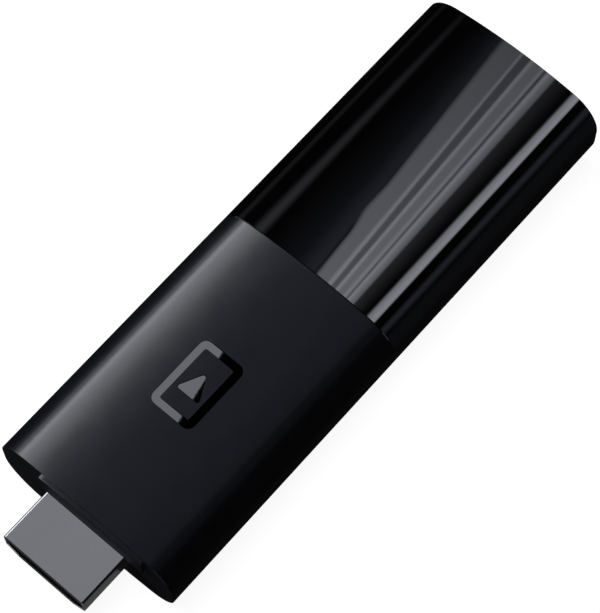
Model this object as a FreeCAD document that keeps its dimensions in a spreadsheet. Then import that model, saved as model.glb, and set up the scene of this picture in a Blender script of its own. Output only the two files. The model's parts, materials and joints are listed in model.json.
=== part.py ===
import FreeCAD, Part
import math
import os

import Sketcher
from FreeCAD import Placement, Rotation, Vector

# Streaming media stick. Millimetres, +Z up, +X from the video plug towards the gloss end.
# The origin is under the middle of the whole object, on the plane that it rests on.

DIMENSIONS = [
    ("plug_tip_x", -47.3, "free end of the video plug"),
    ("end_face_x", -39.1, "flat end face of the matte half"),
    ("seam_x", 4.0, "seam between the matte and the gloss half"),
    ("far_x", 47.1, "flat end face of the gloss half"),
    ("housing_width", 29.6, "housing, across"),
    ("housing_height", 14.9, "housing, bottom crown to top crown"),
    ("crown_radius", 60.0, "gentle crown of the top and of the bottom"),
    ("corner_radius", 5.4, "rounded long edges of the housing"),
    ("wall", 1.3, "housing wall"),
    ("end_wall", 1.6, "closed ends of both halves"),
    ("end_fillet", 0.1, "soft edge round both end faces"),
    ("seam_chamfer", 0.1, "each side of the fine seam line"),
    ("spigot_length", 3.0, "gloss half's spigot inside the matte half"),
    ("spigot_root", 2.5, "part of the spigot behind the seam"),
    ("spigot_gap", 0.05, "clearance round the spigot"),
    ("spigot_wall", 0.8, "spigot wall"),
    ("window_gap", 0.12, "clearance round the plug and the socket window"),
    ("collar_left", 7.0, "end of the lip over the plug, +Y side"),
    ("collar_right", 10.5, "end of the lip over the plug, -Y side"),
    ("collar_low_z", 10.2, "lower edge of the lip"),
    ("collar_inset", 0.3, "top of the lip below the crown"),
    ("collar_depth", 0.65, "how far the lip stands proud of the end face"),
    ("collar_fillet", 0.15, "rounded front edges of the lip"),
    ("symbol_x", -17.5, "middle of the symbol, along"),
    ("symbol_length", 11.0, "symbol, along"),
    ("symbol_width", 7.1, "symbol, across"),
    ("symbol_stroke", 1.1, "line width of the symbol's frame"),
    ("symbol_corner", 1.1, "outer corner radius of the symbol's frame"),
    ("symbol_gap", 0.03, "clearance round each inlay"),
    ("symbol_floor_z", 14.45, "bottom of the symbol's recess"),
    ("symbol_top_z", 14.79, "top face of the inlays"),
    ("triangle_length", 3.9, "play triangle, along"),
    ("triangle_width", 4.0, "play triangle, across"),
    ("plug_width", 13.9, "video plug shell, across"),
    ("plug_height", 4.45, "video plug shell, bottom to top"),
    ("plug_slope_width", 2.0, "each sloped lower corner of the plug, across"),
    ("plug_slope_height", 1.5, "each sloped lower corner of the plug, up"),
    ("plug_mid_z", 5.785, "middle of the plug's height"),
    ("plug_back_x", -35.0, "inner end of the plug shell"),
    ("plug_sheet", 0.3, "sheet metal of the plug shell"),
    ("plug_corner", 0.25, "bend radius of the plug shell"),
    ("plug_recess", 0.4, "insulator behind the plug's tip"),
    ("fit_gap", 0.02, "clearance of pressed-in inner pieces"),
    ("slot_width", 11.9, "slot in the plug's insulator, across"),
    ("slot_height", 1.4, "slot in the plug's insulator, up"),
    ("rear_block_width", 14.6, "block behind the plug, across"),
    ("rear_block_height", 4.8, "block behind the plug, up"),
    ("contact_thickness", 0.3, "plug contact strips"),
    ("contact_width", 0.45, "plug contact strips, across"),
    ("contact_pitch", 1.0, "spacing of the plug contacts"),
    ("contact_front_x", -45.9, "front of the plug contacts"),
    ("contact_back_x", -29.5, "soldered end of the plug contacts"),
    ("clip_length", 7.0, "plug's ground clips, along"),
    ("clip_sheet", 0.4, "plug's ground clips, sheet"),
    ("clip_height", 2.0, "plug's ground clips, up"),
    ("board_front_x", -31.5, "circuit board, plug end"),
    ("board_back_x", 42.5, "circuit board, gloss end"),
    ("board_width", 24.0, "circuit board, across"),
    ("board_low_z", 5.4, "underside of the circuit board"),
    ("board_high_z", 6.2, "top of the circuit board"),
    ("board_corner", 1.5, "circuit board corners"),
    ("screw_front_x", -28.2, "frame screws, plug end"),
    ("screw_back_x", 39.6, "frame screws, gloss end"),
    ("screw_side_y", 9.4, "frame screws, off the middle"),
    ("screw_radius", 0.7, "frame screw shank"),
    ("screw_head_radius", 1.25, "frame screw head"),
    ("screw_head_height", 0.8, "frame screw head, up"),
    ("frame_front_x", -29.3, "inner frame, plug end"),
    ("frame_back_x", 41.6, "inner frame, gloss end"),
    ("frame_width", 23.0, "inner frame, across"),
    ("frame_low_z", 4.3, "underside of the inner frame"),
    ("frame_rail", 1.4, "side rails of the inner frame"),
    ("frame_bar", 4.0, "end bars of the inner frame"),
    ("socket_x", -16.0, "middle of the power socket"),
    ("socket_width", 7.5, "power socket shell, along the stick"),
    ("socket_height", 2.7, "power socket shell, up"),
    ("socket_slope_width", 1.0, "sloped lower corners of the socket, along"),
    ("socket_slope_height", 0.9, "sloped lower corners of the socket, up"),
    ("socket_mid_z", 7.56, "middle of the socket's height"),
    ("socket_mouth_y", 13.4, "mouth of the socket shell"),
    ("socket_back_y", 8.4, "back of the socket shell"),
    ("socket_sheet", 0.25, "sheet metal of the socket shell"),
    ("socket_base", 1.0, "insulator block at the socket's back"),
    ("tongue_width", 3.7, "socket tongue, along the stick"),
    ("tongue_height", 0.6, "socket tongue, up"),
    ("tongue_length", 3.4, "socket tongue, out of its block"),
    ("pin_pitch", 0.65, "spacing of the socket contacts"),
    ("pin_width", 0.3, "socket contacts, along the stick"),
    ("pin_thickness", 0.1, "socket contacts, up"),
    ("shield_x", 9.5, "middle of the processor shield, along"),
    ("shield_length", 33.0, "processor shield, along"),
    ("shield_width", 21.0, "processor shield, across"),
    ("shield_height", 1.7, "processor shield, up"),
    ("shield_sheet", 0.2, "sheet metal of the shields"),
    ("processor_x", 3.0, "middle of the processor"),
    ("processor_side", 14.0, "processor package, both ways"),
    ("chip_height", 1.0, "tall chip packages"),
    ("memory_x", 17.8, "middle of the memory chips"),
    ("memory_side_y", 5.0, "memory chips, off the middle"),
    ("memory_length", 11.0, "memory package, along"),
    ("memory_width", 8.0, "memory package, across"),
    ("storage_length", 13.0, "storage package, along"),
    ("storage_width", 11.5, "storage package, across"),
    ("pad_side", 12.0, "upper thermal pads, both ways"),
    ("low_pad_side", 10.5, "lower thermal pad, both ways"),
    ("spreader_x", 5.0, "middle of both heat spreaders"),
    ("spreader_length", 58.0, "heat spreaders, along"),
    ("upper_spreader_width", 19.0, "upper heat spreader, across"),
    ("upper_spreader_z", 9.9, "underside of the upper heat spreader"),
    ("upper_spreader_height", 1.2, "upper heat spreader, up"),
    ("lower_spreader_width", 15.0, "lower heat spreader, across"),
    ("lower_spreader_z", 3.0, "underside of the lower heat spreader"),
    ("lower_spreader_height", 0.7, "lower heat spreader, up"),
    ("spreader_corner", 1.5, "heat spreader corners"),
    ("radio_x", 32.5, "middle of the radio chip and its shield"),
    ("radio_side", 7.5, "radio package, both ways"),
    ("power_chip_x", -19.5, "middle of the power chip, along"),
    ("power_chip_y", -6.4, "middle of the power chip, across"),
    ("power_chip_side", 4.0, "power chip package, both ways"),
    ("low_chip_height", 0.9, "low chip packages"),
    ("radio_shield_length", 9.6, "radio shield, along"),
    ("radio_shield_width", 11.6, "radio shield, across"),
    ("antenna_x", 32.5, "middle of both antennas"),
    ("antenna_length", 8.5, "antenna strips, along"),
    ("antenna_side_y", 11.2, "antenna blades, off the middle"),
    ("antenna_sheet", 0.3, "antenna sheet"),
    ("antenna_height", 2.6, "antennas, up"),
    ("antenna_slot", 1.1, "open slot of each antenna"),
    ("antenna_foot", 0.5, "antenna below its slot"),
    ("antenna_root", 2.0, "closed end of each antenna's slot"),
    ("cushion_gap", 0.05, "clearance between the board and the foam"),
    ("cushion_length", 2.9, "foam between the board and the gloss end"),
    ("cushion_width", 10.0, "foam, across"),
    ("cushion_height", 3.0, "foam, up"),
    ("hole_gap", 0.1, "clearance round the screws in the circuit board"),
    ("overrun", 1.0, "how far a cutting shape runs past what it cuts"),
]

UPPER_CONTACTS = 10
LOWER_CONTACTS = 9
SOCKET_PINS = 5

# Small packages: length, width and height, and where their rows and columns lie.
INDUCTOR_SIZE = (3.0, 3.0, 1.5)
INDUCTOR_X = -12.5
CRYSTAL_SIZE = (1.6, 1.2, 0.5)
CRYSTAL_PLACES = [(-5.3, 8.6), (25.0, -9.2)]
CAPACITOR_SIZE = (1.2, 0.8, 0.7)
CAPACITOR_ROWS = (-1.2, 2.4)
RESISTOR_SIZE = (1.0, 0.5, 0.35)
RESISTOR_ROW = -10.6
RESISTOR_COLUMN = -5.8

SMALL = 1e-4


# ---------------------------------------------------------------- the sheet and the checks


def make_sheet(doc):
    """The driving dimensions: name, value and note, one row each, with the name as alias."""
    sheet = doc.addObject("Spreadsheet::Sheet", "dims")
    for row, (alias, value, note) in enumerate(DIMENSIONS, 1):
        sheet.set(f"A{row}", alias)
        sheet.set(f"B{row}", str(value))
        sheet.set(f"C{row}", note)
        sheet.setAlias(f"B{row}", alias)
    doc.recompute()
    return sheet


def bind(item, **expressions):
    """Binds properties, with __ for a dot in a property's path, to expressions on the sheet."""
    for path, expression in expressions.items():
        item.setExpression(path.replace("__", "."), expression)


def check_objects(doc):
    """Stops the build if any object of the document is left invalid."""
    for item in doc.Objects:
        if "Invalid" in item.State or "Error" in item.State:
            raise RuntimeError(f"{item.Label} is left {item.State}")


def export_nodes(nodes):
    """Writes each sub-part to a STEP file named after its label."""
    os.makedirs("parts", exist_ok=True)
    for node in nodes:
        shape = node.Shape
        if shape.isNull() or not shape.isValid() or not shape.Solids:
            raise RuntimeError(f"{node.Label} has no valid solid")
        shape.exportStep(f"parts/{node.Label}.step")
        print(f"{node.Label}: {len(shape.Solids)} solid(s), {shape.Volume:.2f} mm3")


# ---------------------------------------------------------------- sketches and features


def new_body(doc, name):
    body = doc.addObject("PartDesign::Body", name)
    body.Label = name
    return body


def plane_sketch(body, name, role, across="0", up="0", out="0"):
    """A sketch on one of the body's origin planes. across, up and out shift it within and off the plane."""
    sketch = body.newObject("Sketcher::SketchObject", name)
    plane = next(item for item in body.Origin.OriginFeatures if item.Role == role)
    sketch.AttachmentSupport = [(plane, "")]
    sketch.MapMode = "FlatFace"
    bind(
        sketch,
        AttachmentOffset__Base__x=across,
        AttachmentOffset__Base__y=up,
        AttachmentOffset__Base__z=out,
    )
    return sketch


def extrude(body, kind, sketch, length, backwards=False):
    """A Pad or a Pocket of one sketch. A pocket has to take material away, which its volume shows."""
    body.Document.recompute()
    before = body.Shape.Volume if kind == "Pocket" else 0.0
    feature = body.newObject(f"PartDesign::{kind}", f"{sketch.Name}_{kind.lower()}")
    feature.Profile = sketch
    feature.Reversed = backwards
    bind(feature, Length=length)
    body.Document.recompute()
    if kind == "Pocket" and feature.Shape.Volume > before - SMALL:
        raise RuntimeError(f"{feature.Name} cuts nothing")
    return feature


def dress(body, kind, base, edges, size):
    """A Fillet or a Chamfer of the given size on some edges of a feature."""
    names = [f"Edge{number}" for number in edges]
    if not names:
        raise RuntimeError(f"no edges to dress on {base.Name}")
    feature = body.newObject(f"PartDesign::{kind}", f"{base.Name}_{kind.lower()}")
    feature.Base = (base, names)
    if kind == "Fillet":
        bind(feature, Radius=size)
    else:
        bind(feature, Size=size)
    body.Document.recompute()
    return feature


def edges_in_plane(shape, axis, place):
    """Numbers of the edges that lie in the plane where one coordinate has the given value."""
    low, high = f"{axis}Min", f"{axis}Max"
    found = []
    for number, edge in enumerate(shape.Edges, 1):
        box = edge.BoundBox
        if abs(getattr(box, low) - place) < SMALL and abs(getattr(box, high) - place) < SMALL:
            found.append(number)
    return found


def straight_edges_along(shape, direction):
    """Numbers of the straight edges that run along a direction."""
    found = []
    for number, edge in enumerate(shape.Edges, 1):
        run = edge.Vertexes[-1].Point - edge.Vertexes[0].Point
        if edge.Curve.TypeId == "Part::GeomLine" and run.Length > SMALL:
            if run.normalize().cross(direction).Length < SMALL:
                found.append(number)
    return found


def limit(sketch, name, constraint, expression):
    """Adds one dimensional constraint and binds it to the sheet."""
    index = sketch.addConstraint(constraint)
    sketch.renameConstraint(index, name)
    sketch.setExpression(f"Constraints.{name}", expression)


def draw_housing_loop(sketch, sheet, tag, inset, inset_expression):
    """The housing's cross section, moved inwards by inset: a crown above and below, four rounded
    corners and two short flat sides, all tangent."""
    half_width = sheet.housing_width / 2
    half_height = sheet.housing_height / 2
    corner_y = half_width - sheet.corner_radius
    crown_z = half_height - sheet.crown_radius
    corner_z = crown_z + math.sqrt((sheet.crown_radius - sheet.corner_radius) ** 2 - corner_y**2)
    turn = math.atan2(corner_z - crown_z, corner_y)
    side = half_width - inset
    half_turn = math.pi
    full_turn = 2 * math.pi

    def arc(y, z, radius, start, end):
        circle = Part.Circle(Vector(y, z, 0), Vector(0, 0, 1), radius)
        return Part.ArcOfCircle(circle, start, end)

    crown = sheet.crown_radius - inset
    corner = sheet.corner_radius - inset
    first = sketch.GeometryCount
    edges = [
        Part.LineSegment(Vector(side, -corner_z, 0), Vector(side, corner_z, 0)),
        arc(corner_y, corner_z, corner, 0, turn),
        arc(0, crown_z, crown, turn, half_turn - turn),
        arc(-corner_y, corner_z, corner, half_turn - turn, half_turn),
        Part.LineSegment(Vector(-side, corner_z, 0), Vector(-side, -corner_z, 0)),
        arc(-corner_y, -corner_z, corner, half_turn, half_turn + turn),
        arc(0, -crown_z, crown, half_turn + turn, full_turn - turn),
        arc(corner_y, -corner_z, corner, full_turn - turn, full_turn),
    ]
    sketch.addGeometry(edges, False)
    right, upper, left = first, first + 2, first + 4
    corners = [first + 1, first + 3, first + 5, first + 7]
    for step in range(len(edges)):
        after = first + (step + 1) % len(edges)
        sketch.addConstraint(Sketcher.Constraint("Tangent", first + step, 2, after, 1))
    for other in corners[1:]:
        sketch.addConstraint(Sketcher.Constraint("Equal", corners[0], other))
    sketch.addConstraint(Sketcher.Constraint("Equal", upper, first + 6))
    sketch.addConstraint(Sketcher.Constraint("Symmetric", right, 1, right, 2, -1))
    sketch.addConstraint(Sketcher.Constraint("Symmetric", left, 1, left, 2, -1))
    sketch.addConstraint(Sketcher.Constraint("Symmetric", right, 2, left, 1, -2))
    limit(
        sketch,
        f"{tag}_corner",
        Sketcher.Constraint("Radius", corners[0], corner),
        f"dims.corner_radius - ({inset_expression})",
    )
    limit(
        sketch,
        f"{tag}_crown",
        Sketcher.Constraint("Radius", upper, crown),
        f"dims.crown_radius - ({inset_expression})",
    )
    limit(
        sketch,
        f"{tag}_width",
        Sketcher.Constraint("DistanceX", left, 1, right, 2, 2 * side),
        f"dims.housing_width - 2 * ({inset_expression})",
    )
    limit(
        sketch,
        f"{tag}_crown_centre",
        Sketcher.Constraint("DistanceY", upper, 3, -1, 1, -crown_z),
        "dims.crown_radius - dims.housing_height / 2",
    )


def join_polygon(sketch, points):
    """A closed polygon through the points. Returns the number of its first line."""
    first = sketch.GeometryCount
    for step, point in enumerate(points):
        after = points[(step + 1) % len(points)]
        sketch.addGeometry(Part.LineSegment(Vector(*point, 0), Vector(*after, 0)), False)
    for step in range(len(points)):
        after = first + (step + 1) % len(points)
        sketch.addConstraint(Sketcher.Constraint("Coincident", first + step, 2, after, 1))
    return first


def draw_rectangle(sketch, tag, width, height, width_expression, height_expression):
    """A rectangle round the sketch's own origin."""
    side, top = width / 2, height / 2
    first = join_polygon(sketch, [(-side, -top), (side, -top), (side, top), (-side, top)])
    for line, direction in enumerate(("Horizontal", "Vertical", "Horizontal", "Vertical")):
        sketch.addConstraint(Sketcher.Constraint(direction, first + line))
    sketch.addConstraint(Sketcher.Constraint("Symmetric", first, 1, first + 2, 1, -1, 1))
    limit(
        sketch,
        f"{tag}_width",
        Sketcher.Constraint("DistanceX", first, 1, first, 2, width),
        width_expression,
    )
    limit(
        sketch,
        f"{tag}_height",
        Sketcher.Constraint("DistanceY", first + 1, 1, first + 1, 2, height),
        height_expression,
    )


def draw_connector_loop(sketch, sheet, which, tag, inset, inset_expression):
    """A connector's outline, moved inwards by inset: flat top, upright sides and sloped lower
    corners, centred on the sketch's origin. which is plug or socket."""
    width = getattr(sheet, f"{which}_width")
    height = getattr(sheet, f"{which}_height")
    slope_width = getattr(sheet, f"{which}_slope_width")
    slope_height = getattr(sheet, f"{which}_slope_height")
    lean = math.atan2(slope_width, slope_height)
    upper_shift = math.tan(lean / 2)
    lower_shift = math.tan(math.pi / 4 - lean / 2)
    side = width / 2 - inset
    top = height / 2 - inset
    knee = slope_height - height / 2 + inset * upper_shift
    foot = width / 2 - slope_width - inset * lower_shift
    points = [(-foot, -top), (foot, -top), (side, knee), (side, top), (-side, top), (-side, knee)]
    first = join_polygon(sketch, points)
    sketch.addConstraint(Sketcher.Constraint("Vertical", first + 2))
    sketch.addConstraint(Sketcher.Constraint("Symmetric", first, 1, first, 2, -2))
    sketch.addConstraint(Sketcher.Constraint("Symmetric", first + 3, 1, first + 3, 2, -2))
    sketch.addConstraint(Sketcher.Constraint("Symmetric", first + 2, 1, first + 4, 2, -2))
    shown_lean = f"atan(dims.{which}_slope_width / dims.{which}_slope_height)"
    limit(
        sketch,
        f"{tag}_width",
        Sketcher.Constraint("DistanceX", first + 3, 2, first + 3, 1, 2 * side),
        f"dims.{which}_width - 2 * ({inset_expression})",
    )
    limit(
        sketch,
        f"{tag}_foot",
        Sketcher.Constraint("DistanceX", first, 1, first, 2, 2 * foot),
        f"dims.{which}_width - 2 * dims.{which}_slope_width"
        f" - 2 * ({inset_expression}) * tan(45 deg - {shown_lean} / 2)",
    )
    limit(
        sketch,
        f"{tag}_top",
        Sketcher.Constraint("DistanceY", -1, 1, first + 3, 1, top),
        f"dims.{which}_height / 2 - ({inset_expression})",
    )
    limit(
        sketch,
        f"{tag}_bottom",
        Sketcher.Constraint("DistanceY", first, 1, -1, 1, top),
        f"dims.{which}_height / 2 - ({inset_expression})",
    )
    limit(
        sketch,
        f"{tag}_knee",
        Sketcher.Constraint("DistanceY", first, 1, first + 2, 1, knee + top),
        f"dims.{which}_slope_height - ({inset_expression}) * (1 - tan({shown_lean} / 2))",
    )


# ---------------------------------------------------------------- boxes and groups


def centred_box(doc, name, length, width, height, x, y, low_z):
    """A box with its middle at x, y and its underside at low_z. All values are expressions."""
    box = doc.addObject("Part::Box", name)
    box.Label = name
    bind(
        box,
        Length=length,
        Width=width,
        Height=height,
        Placement__Base__x=f"({x}) - ({length}) / 2",
        Placement__Base__y=f"({y}) - ({width}) / 2",
        Placement__Base__z=low_z,
    )
    return box


def upright_cylinder(doc, name, radius, height, x, y, low_z):
    cylinder = doc.addObject("Part::Cylinder", name)
    cylinder.Label = name
    bind(
        cylinder,
        Radius=radius,
        Height=height,
        Placement__Base__x=x,
        Placement__Base__y=y,
        Placement__Base__z=low_z,
    )
    return cylinder


def cut(doc, name, base, tool):
    item = doc.addObject("Part::Cut", name)
    item.Label = name
    item.Base = base
    item.Tool = tool
    return item


def fuse(doc, name, pieces):
    item = doc.addObject("Part::MultiFuse", name)
    item.Label = name
    item.Shapes = pieces
    return item


def group(doc, name, pieces):
    """Identical pieces that share one node, each still a solid of its own."""
    item = doc.addObject("Part::Compound", name)
    item.Label = name
    item.Links = pieces
    return item


def round_upright_edges(doc, name, base, radius):
    """Rounds the upright edges of a plate."""
    doc.recompute()
    item = doc.addObject("Part::Fillet", name)
    item.Label = name
    item.Base = base
    up = Vector(0, 0, 1)
    item.Edges = [(number, radius, radius) for number in straight_edges_along(base.Shape, up)]
    return item


# ---------------------------------------------------------------- housing


def end_and_seam_edges(body, pad, end_x, seam_x):
    """Softens the end face's outline and breaks the seam's edge."""
    rounded = dress(body, "Fillet", pad, edges_in_plane(pad.Shape, "X", end_x), "dims.end_fillet")
    seam = edges_in_plane(rounded.Shape, "X", seam_x)
    return dress(body, "Chamfer", rounded, seam, "dims.seam_chamfer")


def add_symbol_recess(body, sheet):
    """Recess for the frame and the triangle of the symbol, in the top crown."""
    middle = {"across": "dims.symbol_x", "out": "dims.housing_height"}
    depth = "dims.housing_height - dims.symbol_floor_z"
    ring = plane_sketch(body, "frame_recess", "XY_Plane", **middle)
    draw_frame_loops(ring, sheet, sheet.symbol_gap, "dims.symbol_gap")
    recess = extrude(body, "Pocket", ring, depth)
    round_frame_corners(body, recess, sheet, sheet.symbol_gap, "dims.symbol_gap")
    play = plane_sketch(body, "triangle_recess", "XY_Plane", **middle)
    draw_triangle(play, sheet, sheet.symbol_gap, "dims.symbol_gap")
    extrude(body, "Pocket", play, depth)


def make_matte_sleeve(doc, sheet):
    """Plug half of the housing: a cup, closed at the plug's end, with windows for the plug and
    the power socket."""
    body = new_body(doc, "matte_sleeve")
    middle = "dims.housing_height / 2"
    outline = plane_sketch(body, "sleeve_outline", "YZ_Plane", "0", middle, "dims.end_face_x")
    draw_housing_loop(outline, sheet, "outer", 0.0, "0")
    pad = extrude(body, "Pad", outline, "dims.seam_x - dims.end_face_x")
    end_and_seam_edges(body, pad, sheet.end_face_x, sheet.seam_x)
    bore = plane_sketch(body, "sleeve_bore", "YZ_Plane", "0", middle, "dims.seam_x")
    draw_housing_loop(bore, sheet, "inner", sheet.wall, "dims.wall")
    extrude(body, "Pocket", bore, "dims.seam_x - dims.end_face_x - dims.end_wall")
    window = plane_sketch(body, "plug_window", "YZ_Plane", "0", "dims.plug_mid_z", "dims.end_face_x")
    draw_connector_loop(window, sheet, "plug", "window", -sheet.window_gap, "-dims.window_gap")
    extrude(body, "Pocket", window, "2 * dims.end_wall", backwards=True)
    mouth = plane_sketch(
        body, "socket_window", "XZ_Plane", "dims.socket_x", "dims.socket_mid_z", "-dims.housing_width / 2"
    )
    draw_connector_loop(mouth, sheet, "socket", "mouth", -sheet.window_gap, "-dims.window_gap")
    extrude(body, "Pocket", mouth, "2 * dims.wall", backwards=True)
    add_symbol_recess(body, sheet)
    return body


def make_gloss_cap(doc, sheet):
    """Far half of the housing: a cup, closed at the far end, with a spigot that slides into the
    matte half."""
    body = new_body(doc, "gloss_cap")
    middle = "dims.housing_height / 2"
    outline = plane_sketch(body, "cap_outline", "YZ_Plane", "0", middle, "dims.seam_x")
    draw_housing_loop(outline, sheet, "outer", 0.0, "0")
    pad = extrude(body, "Pad", outline, "dims.far_x - dims.seam_x")
    end_and_seam_edges(body, pad, sheet.far_x, sheet.seam_x)
    bore = plane_sketch(body, "cap_bore", "YZ_Plane", "0", middle, "dims.seam_x")
    draw_housing_loop(bore, sheet, "inner", sheet.wall, "dims.wall")
    extrude(body, "Pocket", bore, "dims.far_x - dims.seam_x - dims.end_wall", backwards=True)
    inside = sheet.wall + sheet.spigot_gap + sheet.spigot_wall
    inside_expression = "dims.wall + dims.spigot_gap + dims.spigot_wall"
    root = plane_sketch(body, "spigot_root", "YZ_Plane", "0", middle, "dims.seam_x")
    draw_housing_loop(root, sheet, "root_outer", sheet.wall / 2, "dims.wall / 2")
    draw_housing_loop(root, sheet, "root_inner", inside, inside_expression)
    extrude(body, "Pad", root, "dims.spigot_root")
    spigot = plane_sketch(body, "spigot", "YZ_Plane", "0", middle, "dims.seam_x")
    outside = sheet.wall + sheet.spigot_gap
    draw_housing_loop(spigot, sheet, "spigot_outer", outside, "dims.wall + dims.spigot_gap")
    draw_housing_loop(spigot, sheet, "spigot_inner", inside, inside_expression)
    extrude(body, "Pad", spigot, "dims.spigot_length", backwards=True)
    return body


def draw_collar_outline(sketch, sheet):
    """Outline of the lip over the plug: its top follows the crown, and its other sides are
    straight."""
    radius = sheet.crown_radius - sheet.collar_inset
    crown_z = sheet.housing_height - sheet.crown_radius
    left, right, low = sheet.collar_left, -sheet.collar_right, sheet.collar_low_z
    start, end = math.acos(left / radius), math.acos(right / radius)
    left_z = crown_z + radius * math.sin(start)
    right_z = crown_z + radius * math.sin(end)
    circle = Part.Circle(Vector(0, crown_z, 0), Vector(0, 0, 1), radius)
    edges = [
        Part.ArcOfCircle(circle, start, end),
        Part.LineSegment(Vector(right, right_z, 0), Vector(right, low, 0)),
        Part.LineSegment(Vector(right, low, 0), Vector(left, low, 0)),
        Part.LineSegment(Vector(left, low, 0), Vector(left, left_z, 0)),
    ]
    sketch.addGeometry(edges, False)
    for step in range(len(edges)):
        after = (step + 1) % len(edges)
        sketch.addConstraint(Sketcher.Constraint("Coincident", step, 2, after, 1))
    sketch.addConstraint(Sketcher.Constraint("Vertical", 1))
    sketch.addConstraint(Sketcher.Constraint("Horizontal", 2))
    sketch.addConstraint(Sketcher.Constraint("Vertical", 3))
    sketch.addConstraint(Sketcher.Constraint("PointOnObject", 0, 3, -2))
    top = Sketcher.Constraint("Radius", 0, radius)
    limit(sketch, "top", top, "dims.crown_radius - dims.collar_inset")
    centre = Sketcher.Constraint("DistanceY", 0, 3, -1, 1, -crown_z)
    limit(sketch, "centre", centre, "dims.crown_radius - dims.housing_height")
    limit(sketch, "left", Sketcher.Constraint("DistanceX", -1, 1, 3, 1, left), "dims.collar_left")
    limit(sketch, "right", Sketcher.Constraint("DistanceX", 1, 2, -1, 1, -right), "dims.collar_right")
    limit(sketch, "low", Sketcher.Constraint("DistanceY", -1, 1, 3, 1, low), "dims.collar_low_z")


def make_plug_collar(doc, sheet):
    """Low lip on the end face, above the plug, with rounded front edges."""
    body = new_body(doc, "plug_collar")
    outline = plane_sketch(body, "collar_outline", "YZ_Plane", out="dims.end_face_x")
    draw_collar_outline(outline, sheet)
    pad = extrude(body, "Pad", outline, "dims.collar_depth", backwards=True)
    front = edges_in_plane(pad.Shape, "X", sheet.end_face_x - sheet.collar_depth)
    dress(body, "Fillet", pad, front, "dims.collar_fillet")
    return body


# ---------------------------------------------------------------- symbol


def draw_frame_loops(sketch, sheet, gap, gap_expression):
    """Outer and inner outline of the symbol's frame, widened by gap on both sides."""
    draw_rectangle(
        sketch,
        "outer",
        sheet.symbol_length + 2 * gap,
        sheet.symbol_width + 2 * gap,
        f"dims.symbol_length + 2 * ({gap_expression})",
        f"dims.symbol_width + 2 * ({gap_expression})",
    )
    stroke = 2 * (sheet.symbol_stroke + gap)
    stroke_expression = f"2 * (dims.symbol_stroke + ({gap_expression}))"
    draw_rectangle(
        sketch,
        "inner",
        sheet.symbol_length - stroke,
        sheet.symbol_width - stroke,
        f"dims.symbol_length - {stroke_expression}",
        f"dims.symbol_width - {stroke_expression}",
    )


def round_frame_corners(body, feature, sheet, gap, gap_expression):
    """Rounds the four outer corners of the symbol's frame, or of its recess."""
    side_x = sheet.symbol_length / 2 + gap
    side_y = sheet.symbol_width / 2 + gap
    corners = []
    for number in straight_edges_along(feature.Shape, Vector(0, 0, 1)):
        foot = feature.Shape.Edges[number - 1].Vertexes[0].Point
        if abs(abs(foot.x - sheet.symbol_x) - side_x) < SMALL and abs(abs(foot.y) - side_y) < SMALL:
            corners.append(number)
    dress(body, "Fillet", feature, corners, f"dims.symbol_corner + ({gap_expression})")


def draw_triangle(sketch, sheet, gap, gap_expression):
    """Play triangle pointing along +X, widened by gap."""
    back = -sheet.triangle_length / 2 - gap
    nose = sheet.triangle_length / 2 + 2 * gap
    side = sheet.triangle_width / 2 + 2 * gap
    first = join_polygon(sketch, [(back, -side), (nose, 0), (back, side)])
    sketch.addConstraint(Sketcher.Constraint("Symmetric", first, 1, first + 2, 1, -1))
    sketch.addConstraint(Sketcher.Constraint("PointOnObject", first, 2, -1))
    limit(
        sketch,
        "back",
        Sketcher.Constraint("DistanceX", first, 1, -1, 1, -back),
        f"dims.triangle_length / 2 + ({gap_expression})",
    )
    limit(
        sketch,
        "nose",
        Sketcher.Constraint("DistanceX", -1, 1, first, 2, nose),
        f"dims.triangle_length / 2 + 2 * ({gap_expression})",
    )
    limit(
        sketch,
        "side",
        Sketcher.Constraint("DistanceY", first, 1, first + 2, 1, 2 * side),
        f"dims.triangle_width + 4 * ({gap_expression})",
    )


def make_symbol(doc, sheet):
    """The two gloss inlays of a generic playback symbol: a screen frame and a triangle."""
    middle = {"across": "dims.symbol_x", "out": "dims.symbol_floor_z"}
    height = "dims.symbol_top_z - dims.symbol_floor_z"
    frame = new_body(doc, "symbol_frame")
    ring = plane_sketch(frame, "frame_outline", "XY_Plane", **middle)
    draw_frame_loops(ring, sheet, 0.0, "0")
    inlay = extrude(frame, "Pad", ring, height)
    round_frame_corners(frame, inlay, sheet, 0.0, "0")
    triangle = new_body(doc, "symbol_triangle")
    play = plane_sketch(triangle, "triangle_outline", "XY_Plane", **middle)
    draw_triangle(play, sheet, 0.0, "0")
    extrude(triangle, "Pad", play, height)
    return [frame, triangle]


# ---------------------------------------------------------------- video plug


def make_plug_shell(doc, sheet):
    """Sheet-metal tube of the plug, with bent edges."""
    body = new_body(doc, "video_plug_shell")
    outline = plane_sketch(body, "shell_outline", "YZ_Plane", "0", "dims.plug_mid_z", "dims.plug_tip_x")
    draw_connector_loop(outline, sheet, "plug", "outer", 0.0, "0")
    pad = extrude(body, "Pad", outline, "dims.plug_back_x - dims.plug_tip_x")
    along = straight_edges_along(pad.Shape, Vector(1, 0, 0))
    dress(body, "Fillet", pad, along, "dims.plug_corner")
    inside = plane_sketch(body, "shell_inside", "YZ_Plane", "0", "dims.plug_mid_z", "dims.plug_back_x")
    draw_connector_loop(inside, sheet, "plug", "inner", sheet.plug_sheet, "dims.plug_sheet")
    extrude(body, "Pocket", inside, "dims.plug_back_x - dims.plug_tip_x + dims.overrun")
    return body


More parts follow.
